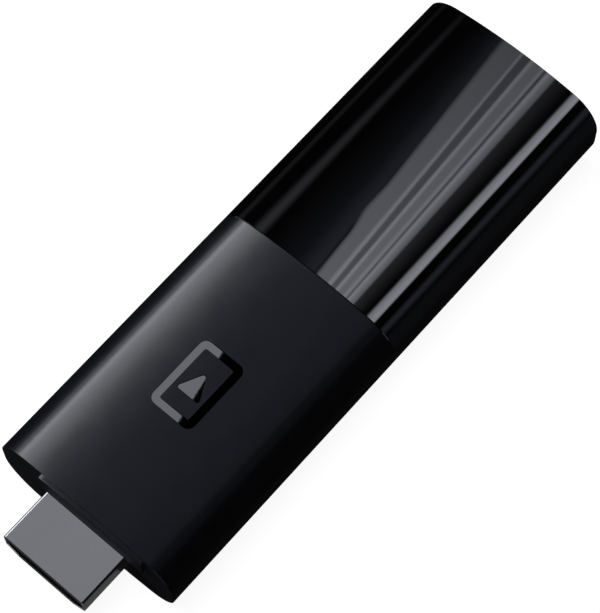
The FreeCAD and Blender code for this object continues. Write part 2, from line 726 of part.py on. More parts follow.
def add_contact_slot(body, sheet, name, place, length):
    """The slot that the contacts lie in, right through the piece."""
    slot = plane_sketch(body, name, "YZ_Plane", "0", "(dims.board_low_z + dims.board_high_z) / 2", place)
    draw_rectangle(
        slot, "slot", sheet.slot_width, sheet.slot_height, "dims.slot_width", "dims.slot_height"
    )
    extrude(body, "Pocket", slot, length)


def make_plug_insulator(doc, sheet):
    """Moulded insulator inside the plug shell."""
    body = new_body(doc, "video_plug_insulator")
    start = "dims.plug_tip_x + dims.plug_recess"
    outline = plane_sketch(body, "insulator_outline", "YZ_Plane", "0", "dims.plug_mid_z", start)
    inset = sheet.plug_sheet + sheet.fit_gap
    draw_connector_loop(outline, sheet, "plug", "body", inset, "dims.plug_sheet + dims.fit_gap")
    extrude(body, "Pad", outline, f"dims.plug_back_x - ({start})")
    add_contact_slot(body, sheet, "insulator_slot", "dims.plug_back_x", "dims.plug_back_x - dims.plug_tip_x")
    return body


def make_plug_rear_block(doc, sheet):
    """Moulded block between the plug and the circuit board."""
    body = new_body(doc, "video_plug_rear_block")
    outline = plane_sketch(body, "block_outline", "YZ_Plane", "0", "dims.plug_mid_z", "dims.plug_back_x")
    draw_rectangle(
        outline,
        "block",
        sheet.rear_block_width,
        sheet.rear_block_height,
        "dims.rear_block_width",
        "dims.rear_block_height",
    )
    length = "dims.board_front_x - dims.plug_back_x"
    extrude(body, "Pad", outline, length)
    add_contact_slot(body, sheet, "block_slot", "dims.board_front_x", f"{length} + dims.overrun")
    return body


def make_plug_contacts(doc, name, count, low_z):
    """One row of contact strips, from the plug's mouth to their pads on the circuit board."""
    strips = []
    for number in range(count):
        offset = number - (count - 1) / 2
        strips.append(
            centred_box(
                doc,
                f"{name}_{number + 1}",
                "dims.contact_back_x - dims.contact_front_x",
                "dims.contact_width",
                "dims.contact_thickness",
                "(dims.contact_back_x + dims.contact_front_x) / 2",
                f"{offset} * dims.contact_pitch",
                low_z,
            )
        )
    return group(doc, name, strips)


def make_ground_clips(doc):
    """Two sheet clips that tie the plug to the circuit board."""
    clips = []
    for side in (-1, 1):
        clips.append(
            centred_box(
                doc,
                f"ground_clip_{'left' if side > 0 else 'right'}",
                "dims.clip_length",
                "dims.clip_sheet",
                "dims.clip_height",
                "dims.plug_back_x + dims.clip_length / 2",
                f"{side} * (dims.rear_block_width + dims.clip_sheet) / 2",
                "dims.board_high_z",
            )
        )
    return group(doc, "video_plug_ground_clips", clips)


def make_video_plug(doc, sheet):
    return [
        make_plug_shell(doc, sheet),
        make_plug_insulator(doc, sheet),
        make_plug_rear_block(doc, sheet),
        make_plug_contacts(doc, "video_plug_upper_contacts", UPPER_CONTACTS, "dims.board_high_z"),
        make_plug_contacts(
            doc,
            "video_plug_lower_contacts",
            LOWER_CONTACTS,
            "dims.board_low_z - dims.contact_thickness",
        ),
        make_ground_clips(doc),
    ]


# ---------------------------------------------------------------- power socket


def make_socket_shell(doc, sheet):
    """Sheet-metal shell of the power socket, open towards +Y."""
    body = new_body(doc, "power_socket_shell")
    outline = plane_sketch(
        body, "socket_outline", "XZ_Plane", "dims.socket_x", "dims.socket_mid_z", "-dims.socket_mouth_y"
    )
    draw_connector_loop(outline, sheet, "socket", "outer", 0.0, "0")
    length = "dims.socket_mouth_y - dims.socket_back_y"
    extrude(body, "Pad", outline, length)
    inside = plane_sketch(
        body, "socket_inside", "XZ_Plane", "dims.socket_x", "dims.socket_mid_z", "-dims.socket_mouth_y"
    )
    draw_connector_loop(inside, sheet, "socket", "inner", sheet.socket_sheet, "dims.socket_sheet")
    extrude(body, "Pocket", inside, f"{length} + dims.overrun", backwards=True)
    return body


def make_socket_insulator(doc, sheet):
    """Insulator block that closes the socket's back, with the tongue that stands out of it."""
    body = new_body(doc, "power_socket_insulator")
    outline = plane_sketch(
        body, "base_outline", "XZ_Plane", "dims.socket_x", "dims.socket_mid_z", "-dims.socket_back_y"
    )
    inset = sheet.socket_sheet + sheet.fit_gap
    draw_connector_loop(outline, sheet, "socket", "base", inset, "dims.socket_sheet + dims.fit_gap")
    extrude(body, "Pad", outline, "dims.socket_base", backwards=True)
    tongue = plane_sketch(
        body, "tongue_outline", "XZ_Plane", "dims.socket_x", "dims.socket_mid_z", "-dims.socket_back_y"
    )
    draw_rectangle(
        tongue,
        "tongue",
        sheet.tongue_width,
        sheet.tongue_height,
        "dims.tongue_width",
        "dims.tongue_height",
    )
    extrude(body, "Pad", tongue, "dims.socket_base + dims.tongue_length", backwards=True)
    return body


def make_socket_contacts(doc):
    """Contact strips on the underside of the tongue."""
    pins = []
    for number in range(SOCKET_PINS):
        offset = number - (SOCKET_PINS - 1) / 2
        pins.append(
            centred_box(
                doc,
                f"socket_pin_{number + 1}",
                "dims.pin_width",
                "dims.tongue_length - dims.fit_gap",
                "dims.pin_thickness",
                f"dims.socket_x + {offset} * dims.pin_pitch",
                "dims.socket_back_y + dims.socket_base + (dims.tongue_length + dims.fit_gap) / 2",
                "dims.socket_mid_z - dims.tongue_height / 2 - dims.pin_thickness",
            )
        )
    return group(doc, "power_socket_contacts", pins)


# ---------------------------------------------------------------- circuit board and what is on it


def screw_places():
    """The four frame screws: name, x expression and y expression."""
    for end in ("front", "back"):
        for side, sign in (("left", ""), ("right", "-")):
            yield f"{end}_{side}", f"dims.screw_{end}_x", f"{sign}dims.screw_side_y"


def make_screws(doc):
    """Four pan-head screws through the circuit board into the inner frame."""
    screws = []
    for place, x, y in screw_places():
        shank = upright_cylinder(
            doc,
            f"shank_{place}",
            "dims.screw_radius",
            "dims.board_high_z - dims.frame_low_z",
            x,
            y,
            "dims.frame_low_z",
        )
        head = upright_cylinder(
            doc,
            f"head_{place}",
            "dims.screw_head_radius",
            "dims.screw_head_height",
            x,
            y,
            "dims.board_high_z",
        )
        screws.append(fuse(doc, f"screw_{place}", [shank, head]))
    return group(doc, "frame_screws", screws)


def screw_holes(doc, owner, radius):
    """The four upright holes that the frame screws pass through, in the circuit board or the inner
    frame."""
    low_z = "dims.frame_low_z - dims.overrun"
    height = "dims.board_high_z - dims.frame_low_z + 2 * dims.overrun"
    holes = [
        upright_cylinder(doc, f"{owner}_hole_{place}", radius, height, x, y, low_z)
        for place, x, y in screw_places()
    ]
    return group(doc, f"{owner}_holes", holes)


def make_board(doc, sheet):
    """Circuit board with rounded corners and four screw holes."""
    blank = centred_box(
        doc,
        "board_blank",
        "dims.board_back_x - dims.board_front_x",
        "dims.board_width",
        "dims.board_high_z - dims.board_low_z",
        "(dims.board_back_x + dims.board_front_x) / 2",
        "0",
        "dims.board_low_z",
    )
    rounded = round_upright_edges(doc, "board_rounded", blank, sheet.board_corner)
    holes = screw_holes(doc, "board", "dims.screw_radius + dims.hole_gap")
    return cut(doc, "main_circuit_board", rounded, holes)


def make_inner_frame(doc, sheet):
    """Moulded frame under the circuit board: two rails and two end bars that take the screws."""
    middle = "(dims.frame_back_x + dims.frame_front_x) / 2"
    length = "dims.frame_back_x - dims.frame_front_x"
    height = "dims.board_low_z - dims.frame_low_z"
    blank = centred_box(
        doc, "frame_blank", length, "dims.frame_width", height, middle, "0", "dims.frame_low_z"
    )
    rounded = round_upright_edges(doc, "frame_rounded", blank, sheet.board_corner)
    opening = centred_box(
        doc,
        "frame_opening",
        f"{length} - 2 * dims.frame_bar",
        "dims.frame_width - 2 * dims.frame_rail",
        f"{height} + 2 * dims.overrun",
        middle,
        "0",
        "dims.frame_low_z - dims.overrun",
    )
    ladder = cut(doc, "frame_ladder", rounded, opening)
    holes = screw_holes(doc, "frame", "dims.screw_radius")
    return cut(doc, "inner_frame", ladder, holes)


def on_board(doc, name, length, width, height, x, y):
    """A package soldered to the top of the circuit board."""
    return centred_box(doc, name, length, width, height, x, y, "dims.board_high_z")


def package_grid(doc, name, size, places):
    """Small identical packages on the top of the circuit board, one solid each."""
    length, width, height = [str(value) for value in size]
    packages = [
        on_board(doc, f"{name}_{number}", length, width, height, str(x), str(y))
        for number, (x, y) in enumerate(places, 1)
    ]
    return group(doc, name, packages)


def row(start, pitch, count):
    """Evenly spaced places along one axis."""
    return [start + pitch * step for step in range(count)]


def make_small_packages(doc):
    """Inductors, crystals, capacitors and resistors near the parts they serve."""
    inductor_places = [(INDUCTOR_X, y) for y in row(-8.6, 4.2, 3)]
    capacitor_places = [(x, y) for y in CAPACITOR_ROWS for x in row(-26.0, 1.9, 6)]
    resistor_places = [(x, RESISTOR_ROW) for x in row(-24.0, 1.5, 6)]
    resistor_places += [(RESISTOR_COLUMN, y) for y in row(-9.0, 1.3, 4)]
    return [
        package_grid(doc, "power_inductors", INDUCTOR_SIZE, inductor_places),
        package_grid(doc, "clock_crystals", CRYSTAL_SIZE, CRYSTAL_PLACES),
        package_grid(doc, "ceramic_capacitors", CAPACITOR_SIZE, capacitor_places),
        package_grid(doc, "chip_resistors", RESISTOR_SIZE, resistor_places),
    ]


def make_chips(doc):
    """The larger chip packages, above and below the circuit board."""
    memory = [
        on_board(
            doc,
            f"memory_chip_{side}",
            "dims.memory_length",
            "dims.memory_width",
            "dims.chip_height",
            "dims.memory_x",
            f"{sign}dims.memory_side_y",
        )
        for side, sign in (("left", ""), ("right", "-"))
    ]
    side = "dims.processor_side"
    radio = "dims.radio_side"
    return [
        on_board(doc, "processor_chip", side, side, "dims.chip_height", "dims.processor_x", "0"),
        group(doc, "memory_chips", memory),
        centred_box(
            doc,
            "storage_chip",
            "dims.storage_length",
            "dims.storage_width",
            "dims.chip_height",
            "dims.processor_x",
            "0",
            "dims.board_low_z - dims.chip_height",
        ),
        on_board(
            doc,
            "power_chip",
            "dims.power_chip_side",
            "dims.power_chip_side",
            "dims.low_chip_height",
            "dims.power_chip_x",
            "dims.power_chip_y",
        ),
        on_board(doc, "radio_chip", radio, radio, "dims.low_chip_height", "dims.radio_x", "0"),
    ]


def make_shields(doc):
    """Processor shield as a soldered frame with a lid, and the radio's one-piece shield."""
    wall = "2 * dims.shield_sheet"
    outer = on_board(
        doc,
        "shield_outer",
        "dims.shield_length",
        "dims.shield_width",
        "dims.shield_height",
        "dims.shield_x",
        "0",
    )
    inner = centred_box(
        doc,
        "shield_inner",
        f"dims.shield_length - {wall}",
        f"dims.shield_width - {wall}",
        "dims.shield_height + 2 * dims.overrun",
        "dims.shield_x",
        "0",
        "dims.board_high_z - dims.overrun",
    )
    lid = centred_box(
        doc,
        "shield_lid",
        "dims.shield_length",
        "dims.shield_width",
        "dims.shield_sheet",
        "dims.shield_x",
        "0",
        "dims.board_high_z + dims.shield_height",
    )
    can = on_board(
        doc,
        "radio_can",
        "dims.radio_shield_length",
        "dims.radio_shield_width",
        "dims.shield_height",
        "dims.radio_x",
        "0",
    )
    room = centred_box(
        doc,
        "radio_room",
        f"dims.radio_shield_length - {wall}",
        f"dims.radio_shield_width - {wall}",
        "dims.shield_height - dims.shield_sheet + dims.overrun",
        "dims.radio_x",
        "0",
        "dims.board_high_z - dims.overrun",
    )
    return [cut(doc, "shield_frame", outer, inner), lid, cut(doc, "radio_shield", can, room)]


def make_heat_path(doc, sheet):
    """Thermal pads and aluminium plates that spread the heat above and below the board."""
    lid_low = "dims.board_high_z + dims.shield_height"
    lid_high = f"{lid_low} + dims.shield_sheet"
    chip_top = "dims.board_high_z + dims.chip_height"
    storage_low = "dims.board_low_z - dims.chip_height"
    lower_top = "dims.lower_spreader_z + dims.lower_spreader_height"
    side = "dims.pad_side"
    low_side = "dims.low_pad_side"
    middle = "dims.processor_x"
    gaps = [
        ("processor", side, chip_top, lid_low),
        ("upper", side, lid_high, "dims.upper_spreader_z"),
        ("lower", low_side, lower_top, storage_low),
    ]
    pads = [
        centred_box(doc, f"thermal_pad_{name}", size, size, f"{high} - ({low})", middle, "0", low)
        for name, size, low, high in gaps
    ]
    plates = []
    for name in ("upper", "lower"):
        blank = centred_box(
            doc,
            f"{name}_spreader_blank",
            "dims.spreader_length",
            f"dims.{name}_spreader_width",
            f"dims.{name}_spreader_height",
            "dims.spreader_x",
            "0",
            f"dims.{name}_spreader_z",
        )
        plates.append(round_upright_edges(doc, f"heat_spreader_{name}", blank, sheet.spreader_corner))
    return pads + plates


def make_antenna(doc, side_name, sign):
    """Stamped antenna: an upright blade with an open slot, standing on the circuit board."""
    place = f"{sign}dims.antenna_side_y"
    blade = on_board(
        doc,
        f"blade_{side_name}",
        "dims.antenna_length",
        "dims.antenna_sheet",
        "dims.antenna_height",
        "dims.antenna_x",
        place,
    )
    slot = centred_box(
        doc,
        f"slot_{side_name}",
        "dims.antenna_length",
        "dims.overrun",
        "dims.antenna_slot",
        "dims.antenna_x + dims.antenna_root",
        place,
        "dims.board_high_z + dims.antenna_foot",
    )
    return cut(doc, f"antenna_{side_name}", blade, slot)


def make_cushion(doc):
    """Foam block that presses the board forwards from the gloss end."""
    return centred_box(
        doc,
        "end_cushion",
        "dims.cushion_length",
        "dims.cushion_width",
        "dims.cushion_height",
        "dims.board_back_x + dims.cushion_gap + dims.cushion_length / 2",
        "0",
        "(dims.board_low_z + dims.board_high_z - dims.cushion_height) / 2",
    )


# ---------------------------------------------------------------- the whole object


def main():
    doc = FreeCAD.newDocument("media_stick")
    sheet = make_sheet(doc)
    nodes = [make_matte_sleeve(doc, sheet), make_gloss_cap(doc, sheet), make_plug_collar(doc, sheet)]
    nodes += make_symbol(doc, sheet)
    nodes += make_video_plug(doc, sheet)
    nodes += [
        make_socket_shell(doc, sheet),
        make_socket_insulator(doc, sheet),
        make_socket_contacts(doc),
        make_board(doc, sheet),
        make_inner_frame(doc, sheet),
        make_screws(doc),
    ]
    nodes += make_chips(doc)
    nodes += make_small_packages(doc)
    nodes += make_shields(doc)
    nodes += make_heat_path(doc, sheet)
    nodes += [make_antenna(doc, "left", ""), make_antenna(doc, "right", "-"), make_cushion(doc)]
    doc.recompute()
    check_objects(doc)
    export_nodes(nodes)


main()
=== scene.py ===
import json
import math

import bmesh
import bpy
import numpy as np
from mathutils import Matrix, Vector


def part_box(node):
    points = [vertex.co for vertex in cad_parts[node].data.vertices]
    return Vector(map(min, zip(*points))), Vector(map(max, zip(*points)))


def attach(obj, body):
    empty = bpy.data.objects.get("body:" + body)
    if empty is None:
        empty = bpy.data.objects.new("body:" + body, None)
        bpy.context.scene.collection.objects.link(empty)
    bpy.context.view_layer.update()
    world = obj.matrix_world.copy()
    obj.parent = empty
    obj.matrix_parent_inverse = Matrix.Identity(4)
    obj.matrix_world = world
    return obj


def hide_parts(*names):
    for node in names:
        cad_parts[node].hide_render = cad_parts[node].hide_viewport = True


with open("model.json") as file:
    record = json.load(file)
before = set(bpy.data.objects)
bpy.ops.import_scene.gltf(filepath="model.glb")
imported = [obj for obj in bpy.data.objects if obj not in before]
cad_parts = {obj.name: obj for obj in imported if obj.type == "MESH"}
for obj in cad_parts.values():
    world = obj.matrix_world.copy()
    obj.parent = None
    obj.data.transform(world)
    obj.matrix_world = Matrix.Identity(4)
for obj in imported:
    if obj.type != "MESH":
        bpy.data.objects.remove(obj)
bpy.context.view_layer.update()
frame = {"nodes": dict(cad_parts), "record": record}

# Looks of a streaming media stick: half matte and half gloss black housing, metal video plug,
# a power socket in one flank and a generic playback symbol. Metres, in the CAD frame.

MM = 0.001

# ---------------------------------------------------------------- driving dimensions


def box_corners(node):
    low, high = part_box(node)
    return Vector(low), Vector(high)


sleeve_low, sleeve_high = box_corners("matte_sleeve")
cap_low, cap_high = box_corners("gloss_cap")
plug_low, plug_high = box_corners("video_plug_shell")
collar_low, collar_high = box_corners("plug_collar")
socket_low, socket_high = box_corners("power_socket_shell")
frame_low, frame_high = box_corners("symbol_frame")
triangle_low, triangle_high = box_corners("symbol_triangle")

END_X = sleeve_low.x
SEAM_X = sleeve_high.x
FAR_X = cap_high.x
HOUSING_LENGTH = (FAR_X - END_X) / MM
WIDTH = sleeve_high.y - sleeve_low.y
HEIGHT = sleeve_high.z - sleeve_low.z
MIDDLE_Z = (sleeve_high.z + sleeve_low.z) / 2
CROWN_RADIUS = 60.0 * MM
CORNER_RADIUS = 5.4 * MM
WALL = 1.3 * MM
END_WALL = 1.6 * MM
SPIGOT_GAP = 0.05 * MM
SPIGOT_WALL = 0.8 * MM
SPIGOT_ROOT = 2.5 * MM
SPIGOT_CHAMFER = 0.2 * MM
END_FILLET = 0.1 * MM
SEAM_BREAK = 0.07 * MM
INNER_START = 1.0 * MM
WINDOW_GAP = 0.12 * MM
RECESS_CUT = 1.0 * MM
PLUG_CUT = (-1.0 * MM, 3.0 * MM)
SOCKET_CUT = (3.0 * MM, -1.5 * MM)

PLUG_SLOPE = (2.0 * MM, 1.5 * MM)
PLUG_SHEET = 0.3 * MM
PLUG_BEND = 0.4 * MM
PLUG_ROLL_FLAT = 0.03 * MM
COLLAR_INSET = 0.3 * MM
COLLAR_BEND = 0.15 * MM
SOCKET_SLOPE = (1.0 * MM, 0.9 * MM)
SOCKET_SHEET = 0.25 * MM
SOCKET_BEND = 0.3 * MM
SOCKET_CHAMFER = (0.1 * MM, 0.05 * MM)
SOCKET_FLARE = (0.5 * MM, 0.13 * MM)
SYMBOL_STROKE = 1.1 * MM
SYMBOL_CORNER = 1.1 * MM
SYMBOL_GAP = 0.04 * MM
SYMBOL_BEVEL = 0.04 * MM
TRIANGLE_CORNER = 0.35 * MM
SMALLEST_CORNER = 0.3 * MM
SMALLEST_BEND = 0.04 * MM
FLAT_TOP_ANGLE = 20.0
SMOOTH_ANGLE = 30.0
BEVEL_LIMIT = 40.0

CROWN_STEPS = 56
CORNER_STEPS = 28
SIDE_STEPS = 4
FILLET_STEPS = 5
OUTER_STEPS = 30
INNER_STEPS = 12
COLLAR_STEPS = 26
COLLAR_ANGLES = np.linspace(0, math.pi / 2, 6)
PLUG_STEPS = 12
PLUG_ROLL_ANGLES = np.linspace(0, math.pi, 7)
BEND_STEPS = 6
BEVEL_STEPS = 2

# ---------------------------------------------------------------- camera

CAMERA_PLACE = Vector((-87.57, -83.10, 287.66)) * MM
CAMERA_AZIMUTH = math.radians(-47.24)
CAMERA_TILT = math.radians(23.42)
CAMERA_ROLL = math.radians(-1.93)
CAMERA_LENS = 135.1
CAMERA_SENSOR = 36.0


# ---------------------------------------------------------------- housing section

# Round the section's own middle: the centres of the upper crown and of its +Y corner, how far
# apart they are, and the lean of the surface where crown and corner meet.
CORNER_Y = WIDTH / 2 - CORNER_RADIUS
CROWN_Z = HEIGHT / 2 - CROWN_RADIUS
CENTRE_GAP = CROWN_RADIUS - CORNER_RADIUS
CORNER_Z = CROWN_Z + math.sqrt(CENTRE_GAP**2 - CORNER_Y**2)
CROWN_LEAN = math.asin(CORNER_Y / CENTRE_GAP)


def section_at(turn):
    """Point and outward normal (y, z each) on the upper outer section, where the normal leans by
    turn radians from straight up towards +Y."""
    normal = Vector((math.sin(turn), math.cos(turn)))
    if abs(turn) < CROWN_LEAN:
        return Vector((0.0, CROWN_Z)) + normal * CROWN_RADIUS, normal
    side = math.copysign(CORNER_Y, turn)
    return Vector((side, CORNER_Z)) + normal * CORNER_RADIUS, normal


def housing_loop(inset=0.0):
    """The housing's section as a closed list of (y, z), moved inwards by inset: a crown above and
    below, four round corners and two short flat sides."""
    lean = CROWN_LEAN
    quarter = math.pi / 2
    crown = CROWN_RADIUS - inset
    corner = CORNER_RADIUS - inset
    points = []

    def arc(y, z, radius, start, end, steps):
        for angle in np.linspace(start, end, steps, endpoint=False):
            points.append((y + radius * math.cos(angle), z + radius * math.sin(angle)))

    def side(y, start, end):
        for z in np.linspace(start, end, SIDE_STEPS, endpoint=False):
            points.append((y, z))

    half = WIDTH / 2 - inset
    side(half, -CORNER_Z, CORNER_Z)
    arc(CORNER_Y, CORNER_Z, corner, 0, quarter - lean, CORNER_STEPS)
    arc(0, CROWN_Z, crown, quarter - lean, quarter + lean, CROWN_STEPS)
    arc(-CORNER_Y, CORNER_Z, corner, quarter + lean, 2 * quarter, CORNER_STEPS)
    side(-half, CORNER_Z, -CORNER_Z)
    arc(-CORNER_Y, -CORNER_Z, corner, 2 * quarter, 3 * quarter - lean, CORNER_STEPS)
    arc(0, -CROWN_Z, crown, 3 * quarter - lean, 3 * quarter + lean, CROWN_STEPS)
    arc(CORNER_Y, -CORNER_Z, corner, 3 * quarter + lean, 4 * quarter, CORNER_STEPS)
    return points


def housing_ring(x, inset=0.0):
    return [(x, y, MIDDLE_Z + z) for y, z in housing_loop(inset)]


# ---------------------------------------------------------------- mesh building


def mesh_object(name, points, faces, smooth_angle=SMOOTH_ANGLE):
    """A mesh with smooth shading except across edges sharper than the angle."""
    mesh = bpy.data.meshes.new(name)
    mesh.from_pydata([tuple(p) for p in points], [], faces)
    mesh.validate()
    item = bpy.data.objects.new(name, mesh)
    bpy.context.scene.collection.objects.link(item)
    finish_shading(item, smooth_angle)
    return item


def finish_shading(item, smooth_angle):
    mesh = item.data
    mesh.polygons.foreach_set("use_smooth", [True] * len(mesh.polygons))
    mesh.set_sharp_from_angle(angle=math.radians(smooth_angle))
    mesh.update()


def loft(name, rings, closed=False, smooth_angle=SMOOTH_ANGLE):
    """Skins a list of rings of equal count. Closed joins the last ring to the first, otherwise
    both ends are capped."""
    count = len(rings[0])
    points = [point for ring in rings for point in ring]
    faces = []
    spans = len(rings) if closed else len(rings) - 1
    for span in range(spans):
        here = span * count
        there = ((span + 1) % len(rings)) * count
        for step in range(count):
            after = (step + 1) % count
            faces.append((here + step, here + after, there + after, there + step))
    if not closed:
        last = (len(rings) - 1) * count
        faces.append(tuple(reversed(range(count))))
        faces.append(tuple(range(last, last + count)))
    item = mesh_object(name, points, faces, smooth_angle)
    make_normals_face_out(item, smooth_angle)
    return item


def make_normals_face_out(item, smooth_angle):
    """Turns the faces of a closed mesh outwards."""
    work = bmesh.new()
    work.from_mesh(item.data)
    bmesh.ops.recalc_face_normals(work, faces=work.faces)
    work.to_mesh(item.data)
    work.free()
    finish_shading(item, smooth_angle)


def rounded_polygon(points, radius):
    """A convex polygon with every corner rounded, as a closed list of (a, b)."""
    count = len(points)
    outline = []
    for number in range(count):
        corner = Vector(points[number])
        back = (Vector(points[number - 1]) - corner).normalized()
        ahead = (Vector(points[(number + 1) % count]) - corner).normalized()
        half = math.acos(max(-1.0, min(1.0, back.dot(ahead)))) / 2
        run = radius / math.tan(half)
        centre = corner + (back + ahead).normalized() * radius / math.sin(half)
        start = corner + back * run - centre
        end = corner + ahead * run - centre
        sweep = start.angle_signed(end)
        for step in range(BEND_STEPS + 1):
            turned = start.copy()
            turned.rotate(Matrix.Rotation(-sweep * step / BEND_STEPS, 2))
            outline.append(tuple(centre + turned))
    return outline


def connector_loop(width, height, slope, bend, inset=0.0):
    """A connector's outline round its middle: flat top, upright sides, sloped lower corners."""
    slope_width, slope_height = slope
    lean = math.atan2(slope_width, slope_height)
    side = width / 2 - inset
    top = height / 2 - inset
    knee = slope_height - height / 2 + inset * math.tan(lean / 2)
    foot = width / 2 - slope_width - inset * math.tan(math.pi / 4 - lean / 2)
    points = [(-foot, -top), (foot, -top), (side, knee), (side, top), (-side, top), (-side, knee)]
    return rounded_polygon(points, max(bend - inset, SMALLEST_BEND))


def rectangle_loop(width, height, radius):
    side, top = width / 2, height / 2
    return rounded_polygon([(-side, -top), (side, -top), (side, top), (-side, top)], radius)


def apply_modifiers(item, smooth_angle):
    graph = bpy.context.evaluated_depsgraph_get()
    result = bpy.data.meshes.new_from_object(item.evaluated_get(graph))
    item.modifiers.clear()
    item.data = result
    finish_shading(item, smooth_angle)


def subtract(item, cutters, smooth_angle=SMOOTH_ANGLE):
    """Cuts closed meshes out of a piece and removes them."""
    for cutter in cutters:
        modifier = item.modifiers.new("cut", "BOOLEAN")
        modifier.object = cutter
        modifier.operation = "DIFFERENCE"
        modifier.solver = "EXACT"
    apply_modifiers(item, smooth_angle)
    for cutter in cutters:
        bpy.data.objects.remove(cutter)


def bevel_edges(item, width, smooth_angle):
    """Rounds the edges of a piece that are sharper than BEVEL_LIMIT by a small width."""
    modifier = item.modifiers.new("soft_edges", "BEVEL")
    modifier.width = width
    modifier.segments = BEVEL_STEPS
    modifier.limit_method = "ANGLE"
    modifier.angle_limit = math.radians(BEVEL_LIMIT)
    apply_modifiers(item, smooth_angle)


# ---------------------------------------------------------------- materials

NOISE_LOW = 0.3
NOISE_HIGH = 0.7
PATCH_DETAIL = 4.0
GRAIN_DETAIL = 5.0
END_FACING = (-0.6, -0.95)


def node_tree(material):
    material.use_nodes = True
    tree = material.node_tree
    tree.nodes.clear()
    return tree


def add_node(tree, kind, inputs=None, **settings):
    """A node of that kind, with its settings, and values or links for its inputs."""
    node = tree.nodes.new(f"ShaderNode{kind}")
    for name, value in settings.items():
        setattr(node, name, value)
    for name, value in (inputs or {}).items():
        if hasattr(value, "is_output"):
            tree.links.new(value, node.inputs[name])
        else:
            node.inputs[name].default_value = value
    return node


def noise(tree, place, scale, detail, stretch=(1, 1, 1)):
    """Noise in the object's own coordinates. scale is in cells per metre."""
    mapping = add_node(tree, "Mapping", {"Vector": place, "Scale": stretch})
    return add_node(
        tree, "TexNoise", {"Vector": mapping.outputs[0], "Scale": scale, "Detail": detail}
    ).outputs["Fac"]


def spread(tree, value, low, high, start=NOISE_LOW, end=NOISE_HIGH):
    """Moves a value from the range start to end, which noise mostly fills, to low to high."""
    return add_node(
        tree,
        "MapRange",
        {"Value": value, "From Min": start, "From Max": end, "To Min": low, "To Max": high},
    ).outputs[0]


def surface(
    name,
    *,
    colour,
    colour_shift,
    roughness,
    grain,
    relief,
    metallic=0.0,
    coat=0.0,
    patches=120.0,
    stretch=(1, 1, 1),
    end_roughness=0.0,
):
    """A moulded or metal surface: tone patches, patches per metre, that differ by colour_shift,
    roughness uneven within its range, and a fine bump with grain cells per metre and relief in
    millimetres. stretch scales the pattern's coordinates, so that under 1 draws it out.
    end_roughness is added on faces that look along -X."""
    material = bpy.data.materials.new(name)
    tree = node_tree(material)
    place = add_node(tree, "TexCoord").outputs["Object"]
    cloud = noise(tree, place, patches, PATCH_DETAIL, stretch)
    fine = noise(tree, place, grain, GRAIN_DETAIL, stretch)
    dark = (*[c * (1 - colour_shift) for c in colour], 1.0)
    light = (*[min(1.0, c * (1 + colour_shift)) for c in colour], 1.0)
    tone = add_node(
        tree,
        "Mix",
        {"Factor": spread(tree, cloud, 0.0, 1.0), "A": dark, "B": light},
        data_type="RGBA",
    )
    both = add_node(tree, "Math", {0: cloud, 1: fine}, operation="ADD").outputs[0]
    mean = add_node(tree, "Math", {0: both, 1: 0.5}, operation="MULTIPLY").outputs[0]
    bump = add_node(tree, "Bump", {"Strength": 1.0, "Distance": relief * MM, "Height": fine})
    facing = add_node(tree, "NewGeometry").outputs["Normal"]
    along = add_node(tree, "SeparateXYZ", {0: facing}).outputs["X"]
    ends = spread(tree, along, 0.0, end_roughness, *END_FACING)
    skin = spread(tree, mean, *roughness)
    uneven = add_node(tree, "Math", {0: skin, 1: ends}, operation="ADD").outputs[0]
    shader = add_node(
        tree,
        "BsdfPrincipled",
        {
            "Roughness": uneven,
            "Metallic": metallic,
            "Specular IOR Level": 0.5,
            "Coat Weight": coat,
            "Coat Roughness": 0.05,
            "Normal": bump.outputs[0],
        },
    )
    colour_out = next(out for out in tone.outputs if out.type == "RGBA")
    tree.links.new(colour_out, shader.inputs["Base Color"])
    out = add_node(tree, "OutputMaterial")
    tree.links.new(shader.outputs[0], out.inputs["Surface"])
    return material


